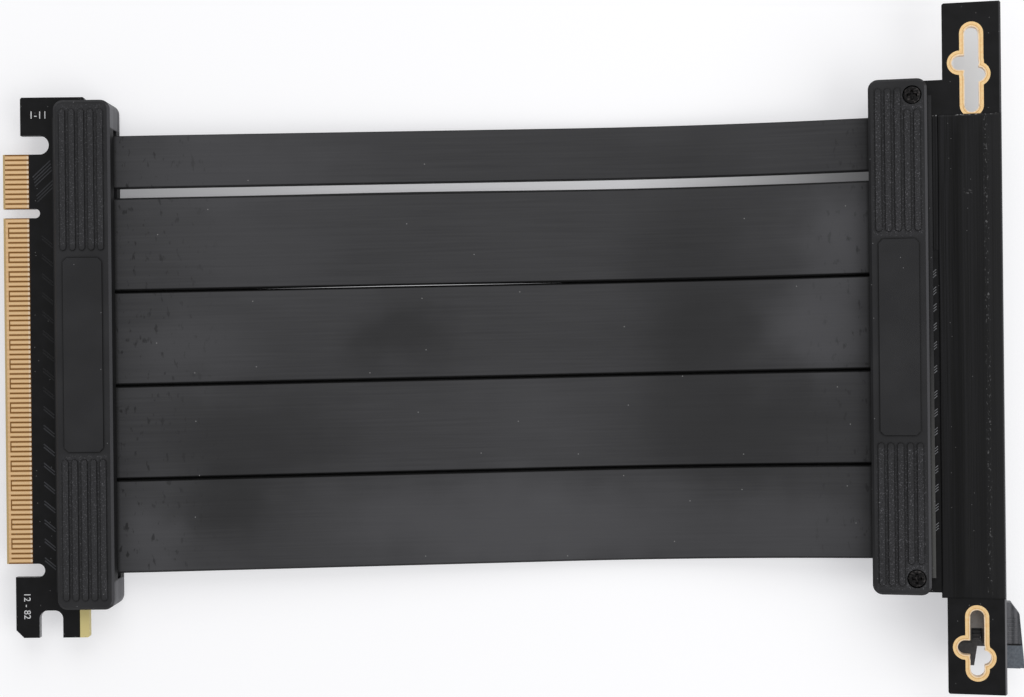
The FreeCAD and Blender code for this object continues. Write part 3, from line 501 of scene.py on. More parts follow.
def ribbon_jacket():
    """Extruded PVC jacket: satin dark grey with faint drawn lines, painted shade and sheen, scuffed ends and
    dust.
    """
    material, tree, place = start_material("extruded_pvc_jacket")
    streaks = grain(tree, place, 0.5, 4.0, (45.0, 1.0, 100.0), turn=RIBBON_SKEW)
    clouds = grain(tree, place, 14.0, 3.0, (2.0, 1.0, 100.0), (0.35, 0.7))
    scuffs = grain(tree, place, 1.1, 5.0, (1.0, 2.2, 100.0), (0.6, 0.68))
    axes = add_node(tree, "ShaderNodeSeparateXYZ", {}, {0: place})
    from_middle = distance_from(tree, axes.outputs[0], 0.0)
    start, full = SCUFFED
    near_ends = add_node(tree, "ShaderNodeMapRange", {}, {0: from_middle, 1: start * MM, 2: full * MM})
    coats = [("#3c3c3e", streaks), ("#434345", clouds, 0.4)]
    loose = wander(tree, place, 12.0, 7.0)
    # Patches of painted shade and painted sheen, where the uneven jacket turns from or towards the light
    for middle, size, strength, tone in JACKET_SHADE_AND_SHEEN_PATCHES:
        coats.append((tone, soft_patch(tree, loose, middle, size), strength))
    coats += [
        (SHADE_AND_SCUFF_TONE, scuffs, near_ends.outputs[0]),
        # Painted shade on the rounded edges, which turn away from the light
        ("#0c0c0d", edge_on(tree, UP, 0.96, 0.8), 0.85),
        ("#8c8c8c", dust(tree, place, 11.0, 0.13, 0.4)),
        # Painted shade in the slits between the ribbons
        ("#1a1a1a", occlusion_shade_share(tree, 0.8)),
    ]
    gloss = add_node(tree, "ShaderNodeMapRange", {}, {0: clouds, 3: 0.5, 4: 0.62})
    lines = add_node(tree, "ShaderNodeBump", {}, {"Height": streaks, "Distance": 0.03 * MM, "Strength": 0.3})
    return end_material(material, {
        "Base Color": lay_coats(tree, "#353537", coats),
        "Roughness": gloss.outputs[0],
        "Specular IOR Level": 0.2,
        "Normal": lines.outputs[0],
    })


def cover_plastic():
    """Moulded ABS from a spark-eroded tool: matt charcoal, with painted glints and shade in the grain on the
    ribs, and painted light and shade on its rims, walls and corners.
    """
    material, tree, place = start_material("moulded_abs_spark_eroded")
    # The real grain is about 0.05 mm, and is drawn coarser so that it shows
    spark = grain(tree, place, 0.27, 3.0, levels=(0.0, 1.0))
    glints = add_node(tree, "ShaderNodeMapRange", {}, {0: spark, 1: 0.58, 2: 0.7}).outputs[0]
    pit_shade = add_node(tree, "ShaderNodeMapRange", {}, {0: spark, 1: 0.42, 2: 0.3}).outputs[0]
    axes = add_node(tree, "ShaderNodeSeparateXYZ", {}, {0: place})
    rib_length = within(tree, distance_from(tree, axes.outputs[1], RIB_MIDDLE_Y), RIB_MIDDLE, RIB_REACH, 0.8)
    plug_ribs = within(tree, axes.outputs[0], PLUG_RIBS_X, RIB_SPREAD, 0.6)
    socket_ribs = within(tree, axes.outputs[0], SOCKET_RIBS_X, RIB_SPREAD, 0.6)
    start, full = LIP_HIGHLIGHT_SPREAD
    lower = add_node(tree, "ShaderNodeMapRange", {}, {0: axes.outputs[1], 1: start * MM, 2: full * MM})
    lip = within(tree, axes.outputs[0], LIP_X, 0.45, 0.05)
    lip_top = facing(tree, SOCKET_FACE, 0.9, 0.98)
    inward = facing(tree, TOWARDS_SOCKET, 0.5, 0.9)
    by_cable = within(tree, axes.outputs[0], PLUG_FACE_X, 2.2, 0.1)
    past_ribbons = within(tree, distance_from(tree, axes.outputs[1], PLUG_AT.y), END_WALL, 3.5, 0.3)
    layers = grain(tree, place, 0.6, 2.0, (100.0, 100.0, 1.0), (0.35, 0.65))
    coats = [("#2b2b2d", grain(tree, place, 9.0, levels=(0.35, 0.7)))]
    # On the ribs the glints are painted highlights and the pits painted shade in the grain
    for ribs, strength in ((plug_ribs, 0.5), (socket_ribs, 0.7)):
        coats += [
            ("#38383b", ribs, rib_length, 0.3),
            ("#6c6c70", ribs, rib_length, glints, strength),
            ("#121213", ribs, rib_length, pit_shade, strength),
        ]
    coats += [
        # Painted shade on the socket cover's walls that face away from the cable
        ("#111112", facing(tree, SOCKET_OUT, 0.5, 0.9), 0.85),
        # Painted highlight on the lip's top, fuller towards its lower end
        ("#545453", lip, lip_top, lower.outputs[0]),
        # Painted light on the plug cover's end walls that face the socket, in streaks
        ("#4c4c4f", inward, by_cable, past_ribbons),
        ("#707074", inward, by_cable, past_ribbons, layers),
    ]
    # Painted highlights on the covers' rims towards the cable and the strip
    for direction, tone in ((PLUG_RIM, "#303033"), (SOCKET_RIM, "#464649")):
        coats.append((tone, facing(tree, direction, 0.95, 0.99), 0.85))
    # Dust, and painted shade in the inner corners
    coats += [("#808082", dust(tree, place, 6.0, 0.1, 0.3)), ("#070708", occlusion_shade_share(tree, 0.5), 0.9)]
    texture = add_node(tree, "ShaderNodeBump", {}, {"Height": spark, "Distance": 0.05 * MM, "Strength": 0.5})
    return end_material(material, {
        "Base Color": lay_coats(tree, "#242426", coats),
        "Roughness": 0.6,
        "Specular IOR Level": 0.25,
        "Normal": texture.outputs[0],
    })


def solder_mask(name, face, laminate_or_highlight):
    """Black solder mask on laminate: smooth, a little glossy and dusty, with paler cut edges."""
    material, tree, place = start_material(name)
    mottle = grain(tree, place, 3.0, 4.0)
    axes = add_node(tree, "ShaderNodeSeparateXYZ", {}, {0: place})
    start, full = BOARD_FADES
    pale = {0: axes.outputs[1], 1: start * MM, 2: full * MM, 3: 0.35, 4: 1.0}
    fading = add_node(tree, "ShaderNodeMapRange", {}, pale)
    coats = [("#131315", mottle), ("#8a8a8c", edge_on(tree, face, 0.8, 0.5), fading.outputs[0])]
    # Bare laminate on the plug board, and a painted highlight along the strip's edge on the socket board
    coats += laminate_or_highlight(tree, axes)
    coats.append(("#7c7c7c", dust(tree, place, 2.4, 0.09, 0.35)))
    gloss = add_node(tree, "ShaderNodeMapRange", {}, {0: mottle, 3: 0.4, 4: 0.5})
    return end_material(material, {
        "Base Color": lay_coats(tree, "#0c0c0d", coats),
        "Roughness": gloss.outputs[0],
        "Specular IOR Level": 0.2,
    })


def plug_laminate(tree, axes):
    """Bare laminate between the fingers, on the bevel of the tongue and at the end of the tail."""
    x, y = axes.outputs[0], axes.outputs[1]
    tongue = within(tree, x, PLUG_AT.x + TONGUE_X[0], TONGUE_X[1], SHARP)
    tongue_length = within(tree, y, PLUG_AT.y + TONGUE_Y[0], TONGUE_Y[1], SHARP)
    bevel = within(tree, x, PLUG_AT.x, BEVEL_REACH, SHARP)
    tail = within(tree, x, PLUG_AT.x + TAIL_X[0], TAIL_X[1], SHARP)
    tail_length = within(tree, y, PLUG_AT.y + TAIL_Y[0], TAIL_Y[1], SHARP)
    return [("#7d5526", tongue, tongue_length), ("#cdb07c", bevel), ("#d8c98c", tail, tail_length)]


def socket_edge_highlight(tree, axes):
    """A painted highlight along the strip's outer edge, plainest at its lower end."""
    start, full = STRIP_HIGHLIGHT_FADES
    pale = {0: axes.outputs[1], 1: start * MM, 2: full * MM, 3: 0.25, 4: 0.75}
    fading = add_node(tree, "ShaderNodeMapRange", {}, pale)
    return [("#87878a", within(tree, axes.outputs[0], *STRIP_EDGE_HIGHLIGHT), fading.outputs[0])]


def finger_gold():
    """Hard gold over nickel on copper: warm satin metal, with painted highlights on each finger's crown and
    inner end.
    """
    material, tree, place = start_material("hard_gold_fingers")
    etch = grain(tree, place, 0.5, 3.0)
    axes = add_node(tree, "ShaderNodeSeparateXYZ", {}, {0: place})
    first_finger = (PLUG_AT.y + LONG_ROW[0]) * MM
    offset = add_node(
        tree, "ShaderNodeMath", {"operation": "SUBTRACT"}, {0: axes.outputs[1], 1: first_finger},
    )
    from_crown = add_node(
        tree, "ShaderNodeMath", {"operation": "PINGPONG"}, {0: offset.outputs[0], 1: PITCH / 2 * MM},
    )
    start, full = FINGER_CROWN_HIGHLIGHT
    crown = add_node(tree, "ShaderNodeMapRange", {}, {0: from_crown.outputs[0], 1: start * MM, 2: full * MM})
    joining_strip = within(tree, axes.outputs[0], *FINGERS_JOINED)
    inner_end = within(tree, axes.outputs[0], PLUG_AT.x + FINGER_END, 0.2, 0.3)
    # The crown and the inner end take painted highlights
    coats = [
        ("#fbd8a9", crown.outputs[0]),
        ("#f0c48c", etch, 0.45),
        ("#f3cb99", joining_strip, 0.7),
        ("#fff3e2", inner_end, 0.55),
    ]
    gloss = add_node(tree, "ShaderNodeMapRange", {}, {0: etch, 3: 0.36, 4: 0.5})
    return end_material(material, {
        "Base Color": lay_coats(tree, "#d3a062", coats),
        "Roughness": gloss.outputs[0],
        "Metallic": 0.6,
    })


def land_gold(name, light, dark):
    """Soft gold over nickel on copper lands: pale warm metal, satin from the copper's grain."""
    material, tree, place = start_material(name)
    etch = grain(tree, place, 0.5, 3.0)
    gloss = add_node(tree, "ShaderNodeMapRange", {}, {0: etch, 3: 0.36, 4: 0.5})
    return end_material(material, {
        "Base Color": lay_coats(tree, dark, [(light, etch)]),
        "Roughness": gloss.outputs[0],
        "Metallic": 0.3,
    })


def tinned_copper():
    """Tinned conductors under solder: grey metal with a soft shine."""
    material, tree, place = start_material("tinned_copper")
    flow = grain(tree, place, 0.8, 3.0)
    waves = add_node(tree, "ShaderNodeBump", {}, {"Height": flow, "Distance": 0.05 * MM, "Strength": 0.5})
    return end_material(material, {
        "Base Color": lay_coats(tree, "#9a9a98", [("#c9c9c6", flow)]),
        "Roughness": 0.4,
        "Metallic": 1.0,
        "Normal": waves.outputs[0],
    })


def black_screw():
    """Blackened steel screw: dark metal with a dull shine and a paler mottle of burr marks and painted
    highlights.
    """
    material, tree, place = start_material("blackened_steel")
    # The paler mottle is partly burr marks and partly painted highlights
    burrs_and_glints = grain(tree, place, 0.45, 4.0, levels=(0.52, 0.7))
    return end_material(material, {
        "Base Color": lay_coats(tree, "#151415", [("#4c4847", burrs_and_glints)]),
        "Roughness": 0.38,
        "Metallic": 0.7,
    })


def insulation_film():
    """Black polyester film: lines drawn along its length with painted sheen, painted shade along a valley,
    a painted highlight band and dusty dashes by the pins.
    """
    material, tree, place = start_material("drawn_polyester_film")
    drawn = grain(tree, place, 0.22, 2.0, (1.0, 120.0, 100.0), (0.42, 0.6))
    folds = grain(tree, place, 1.3, 2.0, (1.0, 60.0, 100.0), (0.35, 0.65))
    dashes = grain(tree, place, 0.28, 2.0, (1.0, 2.0, 100.0), (0.6, 0.72))
    crumbs = grain(tree, place, 0.35, 2.0, (1.6, 1.0, 100.0), (0.55, 0.65))
    axes = add_node(tree, "ShaderNodeSeparateXYZ", {}, {0: place})
    x, y = axes.outputs[0], axes.outputs[1]
    taut_from, taut_to = (FILM_VALLEY_X + 1.0) * MM, (FILM_VALLEY_X + 4.0) * MM
    taut = add_node(tree, "ShaderNodeMapRange", {}, {0: x, 1: taut_from, 2: taut_to, 3: 0.0, 4: 0.6})
    start, full = FILM_SHEEN_FADES
    upper = add_node(tree, "ShaderNodeMapRange", {}, {0: y, 1: start * MM, 2: full * MM, 3: 0.45, 4: 1.0})
    coats = [
        ("#0e0e0f", folds),
        # The drawn lines are real; their paler tone, fullest at the upper end, is painted sheen
        ("#1f1f22", drawn, upper.outputs[0], 0.7),
        ("#171718", taut.outputs[0]),
        # Painted shade along the valley
        ("#040404", within(tree, x, FILM_VALLEY_X, 0.1, 1.8), 0.55),
        ("#5a5a5b", within(tree, x, FILM_PINS_X, 0.15, 0.5), dashes),
        # A painted highlight band beyond the row of pins
        ("#1f1f20", within(tree, x, FILM_PINS_X + 2.8, 0.9, 0.8), 0.6),
        ("#8f8f8f", within(tree, y, FILM_EDGE, 0.12, 0.15), crumbs),
        ("#5c5c5c", soft_patch(tree, place, FILM_SMEAR, (1.6, 0.9)), crumbs),
        ("#6a6a6a", dust(tree, place, 3.4, 0.09, 0.3)),
    ]
    lines = add_node(tree, "ShaderNodeBump", {}, {"Height": drawn, "Distance": 0.02 * MM, "Strength": 0.4})
    return end_material(material, {
        "Base Color": lay_coats(tree, "#080809", coats),
        "Roughness": 0.5,
        "Specular IOR Level": 0.2,
        "Normal": lines.outputs[0],
    })


def housing_plastic():
    """Glass-filled polyester of the slot housing: black, matt, with a flow grain and painted light on the
    tower's top.
    """
    material, tree, place = start_material("moulded_glass_filled_polyester")
    flow = grain(tree, place, 0.6, 4.0, (1.0, 5.0, 1.0))
    axes = add_node(tree, "ShaderNodeSeparateXYZ", {}, {0: place})
    tower = within(tree, axes.outputs[1], TOWER_Y, 2.1, 0.3)
    tower_light = grain(tree, place, 0.8, levels=(0.0, 0.4))
    # Painted light on the tower's top under the mounting slot, in a mottle
    coats = [("#202023", flow), ("#6c6b6b", facing(tree, SOCKET_FACE, 0.5, 0.8), tower, tower_light)]
    ripple = add_node(tree, "ShaderNodeBump", {}, {"Height": flow, "Distance": 0.02 * MM, "Strength": 0.4})
    return end_material(material, {
        "Base Color": lay_coats(tree, "#161618", coats),
        "Roughness": 0.5,
        "Normal": ripple.outputs[0],
    })


def latch_plastic():
    """Moulded nylon of the latch: dark satin, with a blue-grey paddle that is streaked on its upper part."""
    material, tree, place = start_material("moulded_nylon_latch")
    mottle = grain(tree, place, 0.5, 4.0)
    streaks = grain(tree, place, 0.3, 3.0, (1.0, 8.0, 1.0), (0.35, 0.65))
    axes = add_node(tree, "ShaderNodeSeparateXYZ", {}, {0: place})
    x, y = axes.outputs[0], axes.outputs[1]
    start, full = PADDLE_FROM_X
    paddle = add_node(tree, "ShaderNodeMapRange", {}, {0: x, 1: start * MM, 2: full * MM}).outputs[0]
    start, full = PADDLE_UPPER_Y
    upper = add_node(tree, "ShaderNodeMapRange", {}, {0: y, 1: start * MM, 2: full * MM}).outputs[0]
    coats = [
        ("#5a5a5e", mottle),
        ("#565b63", paddle),
        ("#6a7179", paddle, mottle),
        ("#38393c", upper, paddle, 0.9),
        ("#77777b", upper, within(tree, x, PADDLE_RIDGES_X[0], 0.3, 0.4), 0.8),
        ("#77777b", upper, within(tree, x, PADDLE_RIDGES_X[1], 0.15, 0.25), 0.7),
        ("#606166", upper, paddle, streaks, 0.5),
        ("#1b1b1d", paddle, within(tree, y, PADDLE_FOLD_Y, 0.08, 0.1)),
    ]
    skin = add_node(tree, "ShaderNodeBump", {}, {"Height": mottle, "Distance": 0.03 * MM, "Strength": 0.5})
    return end_material(material, {
        "Base Color": lay_coats(tree, "#4a4a4d", coats),
        "Roughness": 0.45,
        "Specular IOR Level": 0.35,
        "Normal": skin.outputs[0],
    })


def printed_ink():
    """Screen-printed white ink: matt, thin at its edges."""
    material, tree, place = start_material("screen_ink")
    cover = grain(tree, place, 0.3, 3.0, levels=(0.25, 0.6))
    return end_material(material, {
        "Base Color": lay_coats(tree, "#b9b9bd", [("#dededf", cover)]),
        "Roughness": 0.6,
    })


def covered_copper():
    """Traces under the mask: pale where copper lifts it, most on the strip, least by the plug's middle."""
    material, tree, place = start_material("mask_over_copper")
    mottle = grain(tree, place, 0.4, levels=(0.0, 1.0))
    axes = add_node(tree, "ShaderNodeSeparateXYZ", {}, {0: place})
    x, y = axes.outputs[0], axes.outputs[1]
    at_plug = add_node(tree, "ShaderNodeMath", {"operation": "LESS_THAN"}, {0: x, 1: 0.0}).outputs[0]
    coats = [
        ("#86878a", mottle),
        ("#3a3b3f", at_plug),
        ("#131315", within(tree, y, *FAINT_TRACES), at_plug, 0.92),
    ]
    return end_material(material, {
        "Base Color": lay_coats(tree, "#525356", coats),
        "Roughness": 0.4,
        "Specular IOR Level": 0.3,
    })


# Ribbons: their line is the solids' own, and the back layer's lanes close up under the front layer's slits.
# One back lane sways aside a little, which opens a sliver of light.
# A row is a ribbon's name, its lower edge and its width

RIBBON_STRAIGHT = 3.0
RIBBON_BEND = 217.0
RIBBON_THICKNESS = 1.15
RIBBON_EDGE = 0.35
LAYER_OFFSET = 0.625
LOWEST = 1.5
ARC_POINTS = 24
SLOPE_POINTS = 24
FRONT_MARGIN = 0.08
BACK_MARGIN = 0.235
SWAY = 0.17
SWAY_AT = -21.0
SWAY_SPREAD = 26.0
RIBBON_ROWS = [
    ("lane_ribbon_{}_4", -44.975, 18.9),
    ("lane_ribbon_{}_3", -25.625, 18.9),
    ("lane_ribbon_{}_2", -6.275, 18.9),
    ("lane_ribbon_{}_1", 13.075, 18.9),
    ("power_ribbon_{}", 34.075, 10.9),
]


def ribbon_line(offset):
    """Points of a layer's middle line in the XZ plane: straight, bend, straight, bend, straight."""
    rise = Vector((math.cos(TILT), 0, math.sin(TILT)))
    lift = Vector((-math.sin(TILT), 0, math.cos(TILT)))
    first_bend = Vector((PLUG_FACE_X + RIBBON_STRAIGHT, 0, PLUG_AT.z))
    last_bend = SOCKET_AT - rise * RIBBON_STRAIGHT
    radius_up = (last_bend.z - LOWEST) / (1 - math.cos(TILT))
    centre_up = Vector((last_bend.x - radius_up * math.sin(TILT), 0, LOWEST + radius_up))
    centre_down = first_bend - Vector((0, 0, RIBBON_BEND))
    both = RIBBON_BEND + radius_up
    run = centre_up.x - centre_down.x
    fall = both - (first_bend.z - LOWEST)
    slope = math.atan2(run, fall) - math.acos(both / math.hypot(run, fall))
    points = [Vector((PLUG_FACE_X - RIBBON_INSET, 0, PLUG_AT.z + offset))]
    for step in range(ARC_POINTS + 1):
        angle = math.pi / 2 - slope * step / ARC_POINTS
        points.append(centre_down + Vector((math.cos(angle), 0, math.sin(angle))) * (RIBBON_BEND + offset))
    leaving = points[-1]
    arriving = centre_up - Vector((math.sin(slope), 0, math.cos(slope))) * (radius_up - offset)
    points += [leaving.lerp(arriving, step / SLOPE_POINTS) for step in range(1, SLOPE_POINTS)]
    for step in range(ARC_POINTS + 1):
        angle = -slope + (TILT + slope) * step / ARC_POINTS - math.pi / 2
        points.append(centre_up + Vector((math.cos(angle), 0, math.sin(angle))) * (radius_up - offset))
    points.append(SOCKET_AT + rise * RIBBON_INSET + lift * offset)
    return points


def ribbon(name, edge, width, offset, material, sway=0.0):
    """One ribbon as a band with rounded edges along its line, laid askew as the solids are."""
    points = ribbon_line(offset)
    for point in points:
        point.y = sway * math.exp(-((point.x - SWAY_AT) / SWAY_SPREAD) ** 2)
    middle = (points[0].x + points[-1].x) / 2
    middle_y = (PLUG_AT.y + SOCKET_COVER_Y) / 2 + edge + width / 2
    turned = Matrix.Translation((middle, middle_y, 0)) @ Matrix.Rotation(RIBBON_SKEW, 4, "Z")
    place = TO_METRES @ turned @ Matrix.Translation((-middle, 0, 0))
    curve = bpy.data.curves.new(name, "CURVE")
    curve.dimensions = "3D"
    curve.twist_mode = "Z_UP"
    spline = curve.splines.new("POLY")
    spline.points.add(len(points) - 1)
    for point, target in zip(spline.points, points):
        point.co = (*target, 1.0)
    carrier = new_object(name, curve)
    values = {
        "Width": width,
        "Thickness": RIBBON_THICKNESS,
        "Edge Radius": RIBBON_EDGE,
        "Material": material,
    }
    set_inputs(carrier, BAND_TREE, values)
    mesh = evaluated_mesh(carrier, name)
    mesh.transform(place)
    piece(f"jacket_{name}", mesh, BODY, material, [name])


# Plug end

FINGER_TOP = HALF_BOARD + PLATING
FINGER_START = 0.5
FINGER_HALF = 0.345
FINGER_CUT = 0.14
SIGNAL_START = 1.25
STRIP_WIDTH = 0.5
STRIP_DROP = 0.01
FIRST_LONG_CONTACT = 12
FRONT_PAIRS = (14, 19, 23, 27, 33, 37, 41, 45, 50, 54, 58, 62, 66, 70, 74, 78)
BACK_PAIRS = (13, 16, 21, 25, 29, 35, 39, 43, 47, 52, 56, 60, 64, 68, 72, 76, 80)


def finger_outline(start, row):
    """A finger with its inner corners cut, in plan."""
    return [
        (start, row - FINGER_HALF),
        (FINGER_END - FINGER_CUT, row - FINGER_HALF),
        (FINGER_END, row - FINGER_HALF + FINGER_CUT),
        (FINGER_END, row + FINGER_HALF - FINGER_CUT),
        (FINGER_END - FINGER_CUT, row + FINGER_HALF),
        (start, row + FINGER_HALF),
    ]


def edge_fingers(name, low, high, pairs, material, replaced):
    """Gold fingers of one face: signal pairs start further in, behind a strip that joins the others."""
    work = bmesh.new()
    short_first, short_count = SHORT_ROW
    long_first, long_count = LONG_ROW
    for index in range(short_count):
        add_prism(work, finger_outline(FINGER_START, short_first - index * PITCH), low, high)
    for index in range(long_count):
        contact = FIRST_LONG_CONTACT + index
        is_signal = contact in pairs or contact - 1 in pairs
        start = SIGNAL_START if is_signal else FINGER_START
        add_prism(work, finger_outline(start, long_first - index * PITCH), low, high)
    last = long_first - (long_count - 1) * PITCH
    add_box(work, (FINGER_START, last, low), (FINGER_START + STRIP_WIDTH, long_first, high - STRIP_DROP))
    mesh = mesh_from(work, name, PLUG_PLACE)
    piece(name, mesh, BODY, material, [replaced])


# Traces under the mask: height, and length, width and angle in plan; a row is a start, a step and a count
TRACE_HEIGHT = 0.03
LONG_TRACE = (2.9, 0.24, math.radians(-40))
LONG_TRACE_PAIR = (0.0, 0.62)
LONG_TRACE_ROWS = [((7.9, 24.6, HALF_BOARD), (0, -3.9 * PITCH, 0), 18)]
SHORT_TRACE = (4.8, 0.22, math.radians(43))
SHORT_TRACE_ROWS = [
    ((6.3, 36.8, HALF_BOARD), (0.1, -0.66, 0), 4),
    ((6.9, 32.8, HALF_BOARD), (0.1, -0.62, 0), 3),
]


def slanted_strips(length, width, angle, drops=(0.0,)):
    """Short straight traces side by side, turned in plan, each lowered along Y."""
    work = bmesh.new()
    along = Vector((math.cos(angle), math.sin(angle)))
    side = Vector((-along.y, along.x)) * width / 2
    end = along * length
    for drop in drops:
        start = Vector((0.0, -drop))
        outline = [start - side, start + end - side, start + end + side, start + side]
        add_prism(work, outline, 0, TRACE_HEIGHT)
    return work


def plug_traces(material):
    """Pairs of slanted traces between the fingers and the cover, raised a little under the mask."""
    pair = slanted_strips(*LONG_TRACE, LONG_TRACE_PAIR)
    mesh = rows_of("plug_long_traces", pair, LONG_TRACE_ROWS, material, PLUG_PLACE)
    piece("plug_long_traces", mesh, BODY, material)
    climbing = slanted_strips(*SHORT_TRACE)
    mesh = rows_of("plug_short_traces", climbing, SHORT_TRACE_ROWS, material, PLUG_PLACE)
    piece("plug_short_traces", mesh, BODY, material)


# Contact numbers: text, height, place on the plug board and turn
INK_HALF = 0.01
INK_Z = HALF_BOARD + INK_HALF
DIGIT_SHARE = 0.7
NUMBERS = {
    "numbers_short": ("1-11", 1.5, (7.4, 49.4, INK_Z), 0.0),
    "numbers_long": ("12 - 82", 1.35, (4.1, -51.6, INK_Z), math.radians(-90)),
}


def printed_text(name, text, height, at, turn, material):
    """Plain contact numbers in screen ink on the plug board, as high as their digits."""
    curve = bpy.data.curves.new(name, "FONT")
    curve.body = text
    curve.size = height / DIGIT_SHARE
    curve.align_x = "CENTER"
    curve.align_y = "CENTER"
    curve.extrude = INK_HALF
    carrier = new_object(name, curve)
    mesh = evaluated_mesh(carrier, name)
    mesh.transform(PLUG_PLACE @ Matrix.Translation(at) @ Matrix.Rotation(turn, 4, "Z"))
    piece(name, mesh, BODY, material)


# Screws: the head's crown is a share of its radius at each drop from its top

HEAD_RADIUS = 1.8
HEAD_TOP = 4.65
HEAD_HEIGHT = 1.1
HEAD_CROWN = [(0.82, 0.0), (0.95, 0.1), (1.0, 0.3)]
SHANK_RADIUS = 0.95
SHANK_TIP = -3.7
CROSS_MOUTH = (1.05, 0.3)
CROSS_FLOOR = (0.75, 0.2)
CROSS_DEPTH = 0.6
SCREW_PLACES = [(8.7, 48.65), (8.7, -48.65)]


def screw_outline(radius, count=32):
    """A circle of points round a screw."""
    angles = [2 * math.pi * index / count for index in range(count)]
    return [(radius * math.cos(angle), radius * math.sin(angle)) for angle in angles]


def cross_outline(arm, half):
    """A cross with arms of a reach and a half width, as four quarters."""
    quarter = [(half, arm), (half, half), (arm, half)]
    corners = []
    for _ in range(4):
        corners += quarter
        quarter = [(b, -a) for a, b in quarter]
    return corners


def screw_element():
    """A pan-head screw with a tapered cross recess, its head's top at the cover's height."""
    work = bmesh.new()
    rings = [(HEAD_RADIUS * share, HEAD_TOP - drop) for share, drop in HEAD_CROWN]
    rings += [
        (HEAD_RADIUS, HEAD_TOP - HEAD_HEIGHT),
        (SHANK_RADIUS, HEAD_TOP - HEAD_HEIGHT),
        (SHANK_RADIUS, SHANK_TIP),
    ]
    loops = [[work.verts.new((x, y, z)) for x, y in screw_outline(radius)] for radius, z in rings]
    for upper, lower in zip(loops, loops[1:]):
        join_loops(work, lower, upper)
    work.faces.new(loops[-1][::-1])
    mouth = [work.verts.new((x, y, HEAD_TOP)) for x, y in cross_outline(*CROSS_MOUTH)]
    bottom = [work.verts.new((x, y, HEAD_TOP - CROSS_DEPTH)) for x, y in cross_outline(*CROSS_FLOOR)]
    join_loops(work, mouth, bottom)
    work.faces.new(bottom)
    edges = []
    for loop in (loops[0], mouth):
        for index in range(len(loop)):
            ends = (loop[index], loop[(index + 1) % len(loop)])
            edges.append(work.edges.get(ends) or work.edges.new(ends))
    bmesh.ops.triangle_fill(work, edges=edges, use_beauty=True)
    return work


def cover_screws(name, place, replaced, material):
    """The two screws of a cover, in the cover's own frame."""
    rows = [((x, y, 0.0), (0.0, 0.0, 0.0), 1) for x, y in SCREW_PLACES]
    mesh = rows_of(name, screw_element(), rows, material, place)
    piece(name, mesh, BODY, material, [replaced])


# Socket end

MOUTH = -12.05
WELL_FLOOR = MOUTH + 8.8
SPRING_LINE = [(1.45, WELL_FLOOR), (1.2, -6.0), (0.72, -8.6), (0.62, -9.1), (0.74, -9.7), (1.2, MOUTH + 1.0)]
SPRING_THICKNESS = 0.26
SPRING_HALF = 0.275
COMB_INNER = 1.25
COMB_OUTER = 1.8
COMB_HALF = 0.16
COMB_SINK = 0.5


def spring_element(side):
    """A spring contact: a strip that bulges towards the card and turns away at its tip."""
    work = bmesh.new()
    rows = []
    for u, z in SPRING_LINE:
        inner = [work.verts.new((side * u, y, z)) for y in (-SPRING_HALF, SPRING_HALF)]
        far = side * (u + SPRING_THICKNESS)
        outer = [work.verts.new((far, y, z)) for y in (-SPRING_HALF, SPRING_HALF)]
        rows.append((inner[0], inner[1], outer[1], outer[0]))
    for upper, lower in zip(rows, rows[1:]):
        join_loops(work, upper, lower)
    work.faces.new(rows[0])
    work.faces.new(rows[-1][::-1])
    return work


def contact_rows(shift):
    """Rows of copies along the slot: the short and the long group, from the socket's middle."""
    return [((SLOT_AXIS, SOCKET_COVER_Y + first - shift, 0.0), (0.0, -PITCH, 0.0), count - (shift > 0))
            for first, count in (SHORT_ROW, LONG_ROW)]


def spring_contacts(name, side, replaced, material):
    """The springs on one side of the slot."""
    mesh = rows_of(name, spring_element(side), contact_rows(0.0), material, SOCKET_PLACE)
    piece(name, mesh, BODY, material, [replaced])


def slot_combs(material):
    """Partition ribs between neighbouring springs, on both walls of the slot."""
    work = bmesh.new()
    for side in (-1, 1):
        near, far = sorted((side * COMB_INNER, side * COMB_OUTER))
        add_box(work, (near, -COMB_HALF, MOUTH + COMB_SINK), (far, COMB_HALF, WELL_FLOOR))
    mesh = rows_of("slot_combs", work, contact_rows(PITCH / 2), material, SOCKET_PLACE)
    piece("slot_combs", mesh, BODY, material)


FILM_LOW = (13.64, -50.45)
FILM_HIGH = (26.0, FILM_EDGE)
FILM_BASE = 0.8
FILM_TOP = 0.95
FILM_TAB_LOW = (12.75, 20.0, FILM_BASE)
FILM_TAB_HIGH = (13.7, FILM_EDGE - 0.02, 0.93)
FILM_ACROSS = 40
FILM_ALONG = 220
PIN_ROWS = (SLOT_AXIS - 2.4, SLOT_AXIS + 2.4)
PIN_LIFT = 0.2
PIN_SPREAD = 1.1
RIPPLE = 0.05
RIPPLE_SHARES = (0.25, 0.07)
RIPPLE_SEED = 3.1
FLAT_ENDS = 4.0
FLAT_SIDES = 1.2


def film_height(u, y):
    """Height of the film's upper face: lifted over the pin rows, with slack ripples."""
    lift = sum(PIN_LIFT * math.exp(-((u - pin_row) / PIN_SPREAD) ** 2) for pin_row in PIN_ROWS)
    ripple = RIPPLE * noise.noise(Vector((u * RIPPLE_SHARES[0], y * RIPPLE_SHARES[1], RIPPLE_SEED)))
    ends = min(1.0, (y - FILM_LOW[1]) / FLAT_ENDS, (FILM_HIGH[1] - y) / FLAT_ENDS)
    sides = min(1.0, (u - FILM_LOW[0]) / FLAT_SIDES, (FILM_HIGH[0] - u) / FLAT_SIDES)
    return FILM_TOP + max(0.0, ends) * max(0.0, sides) * (lift + ripple)


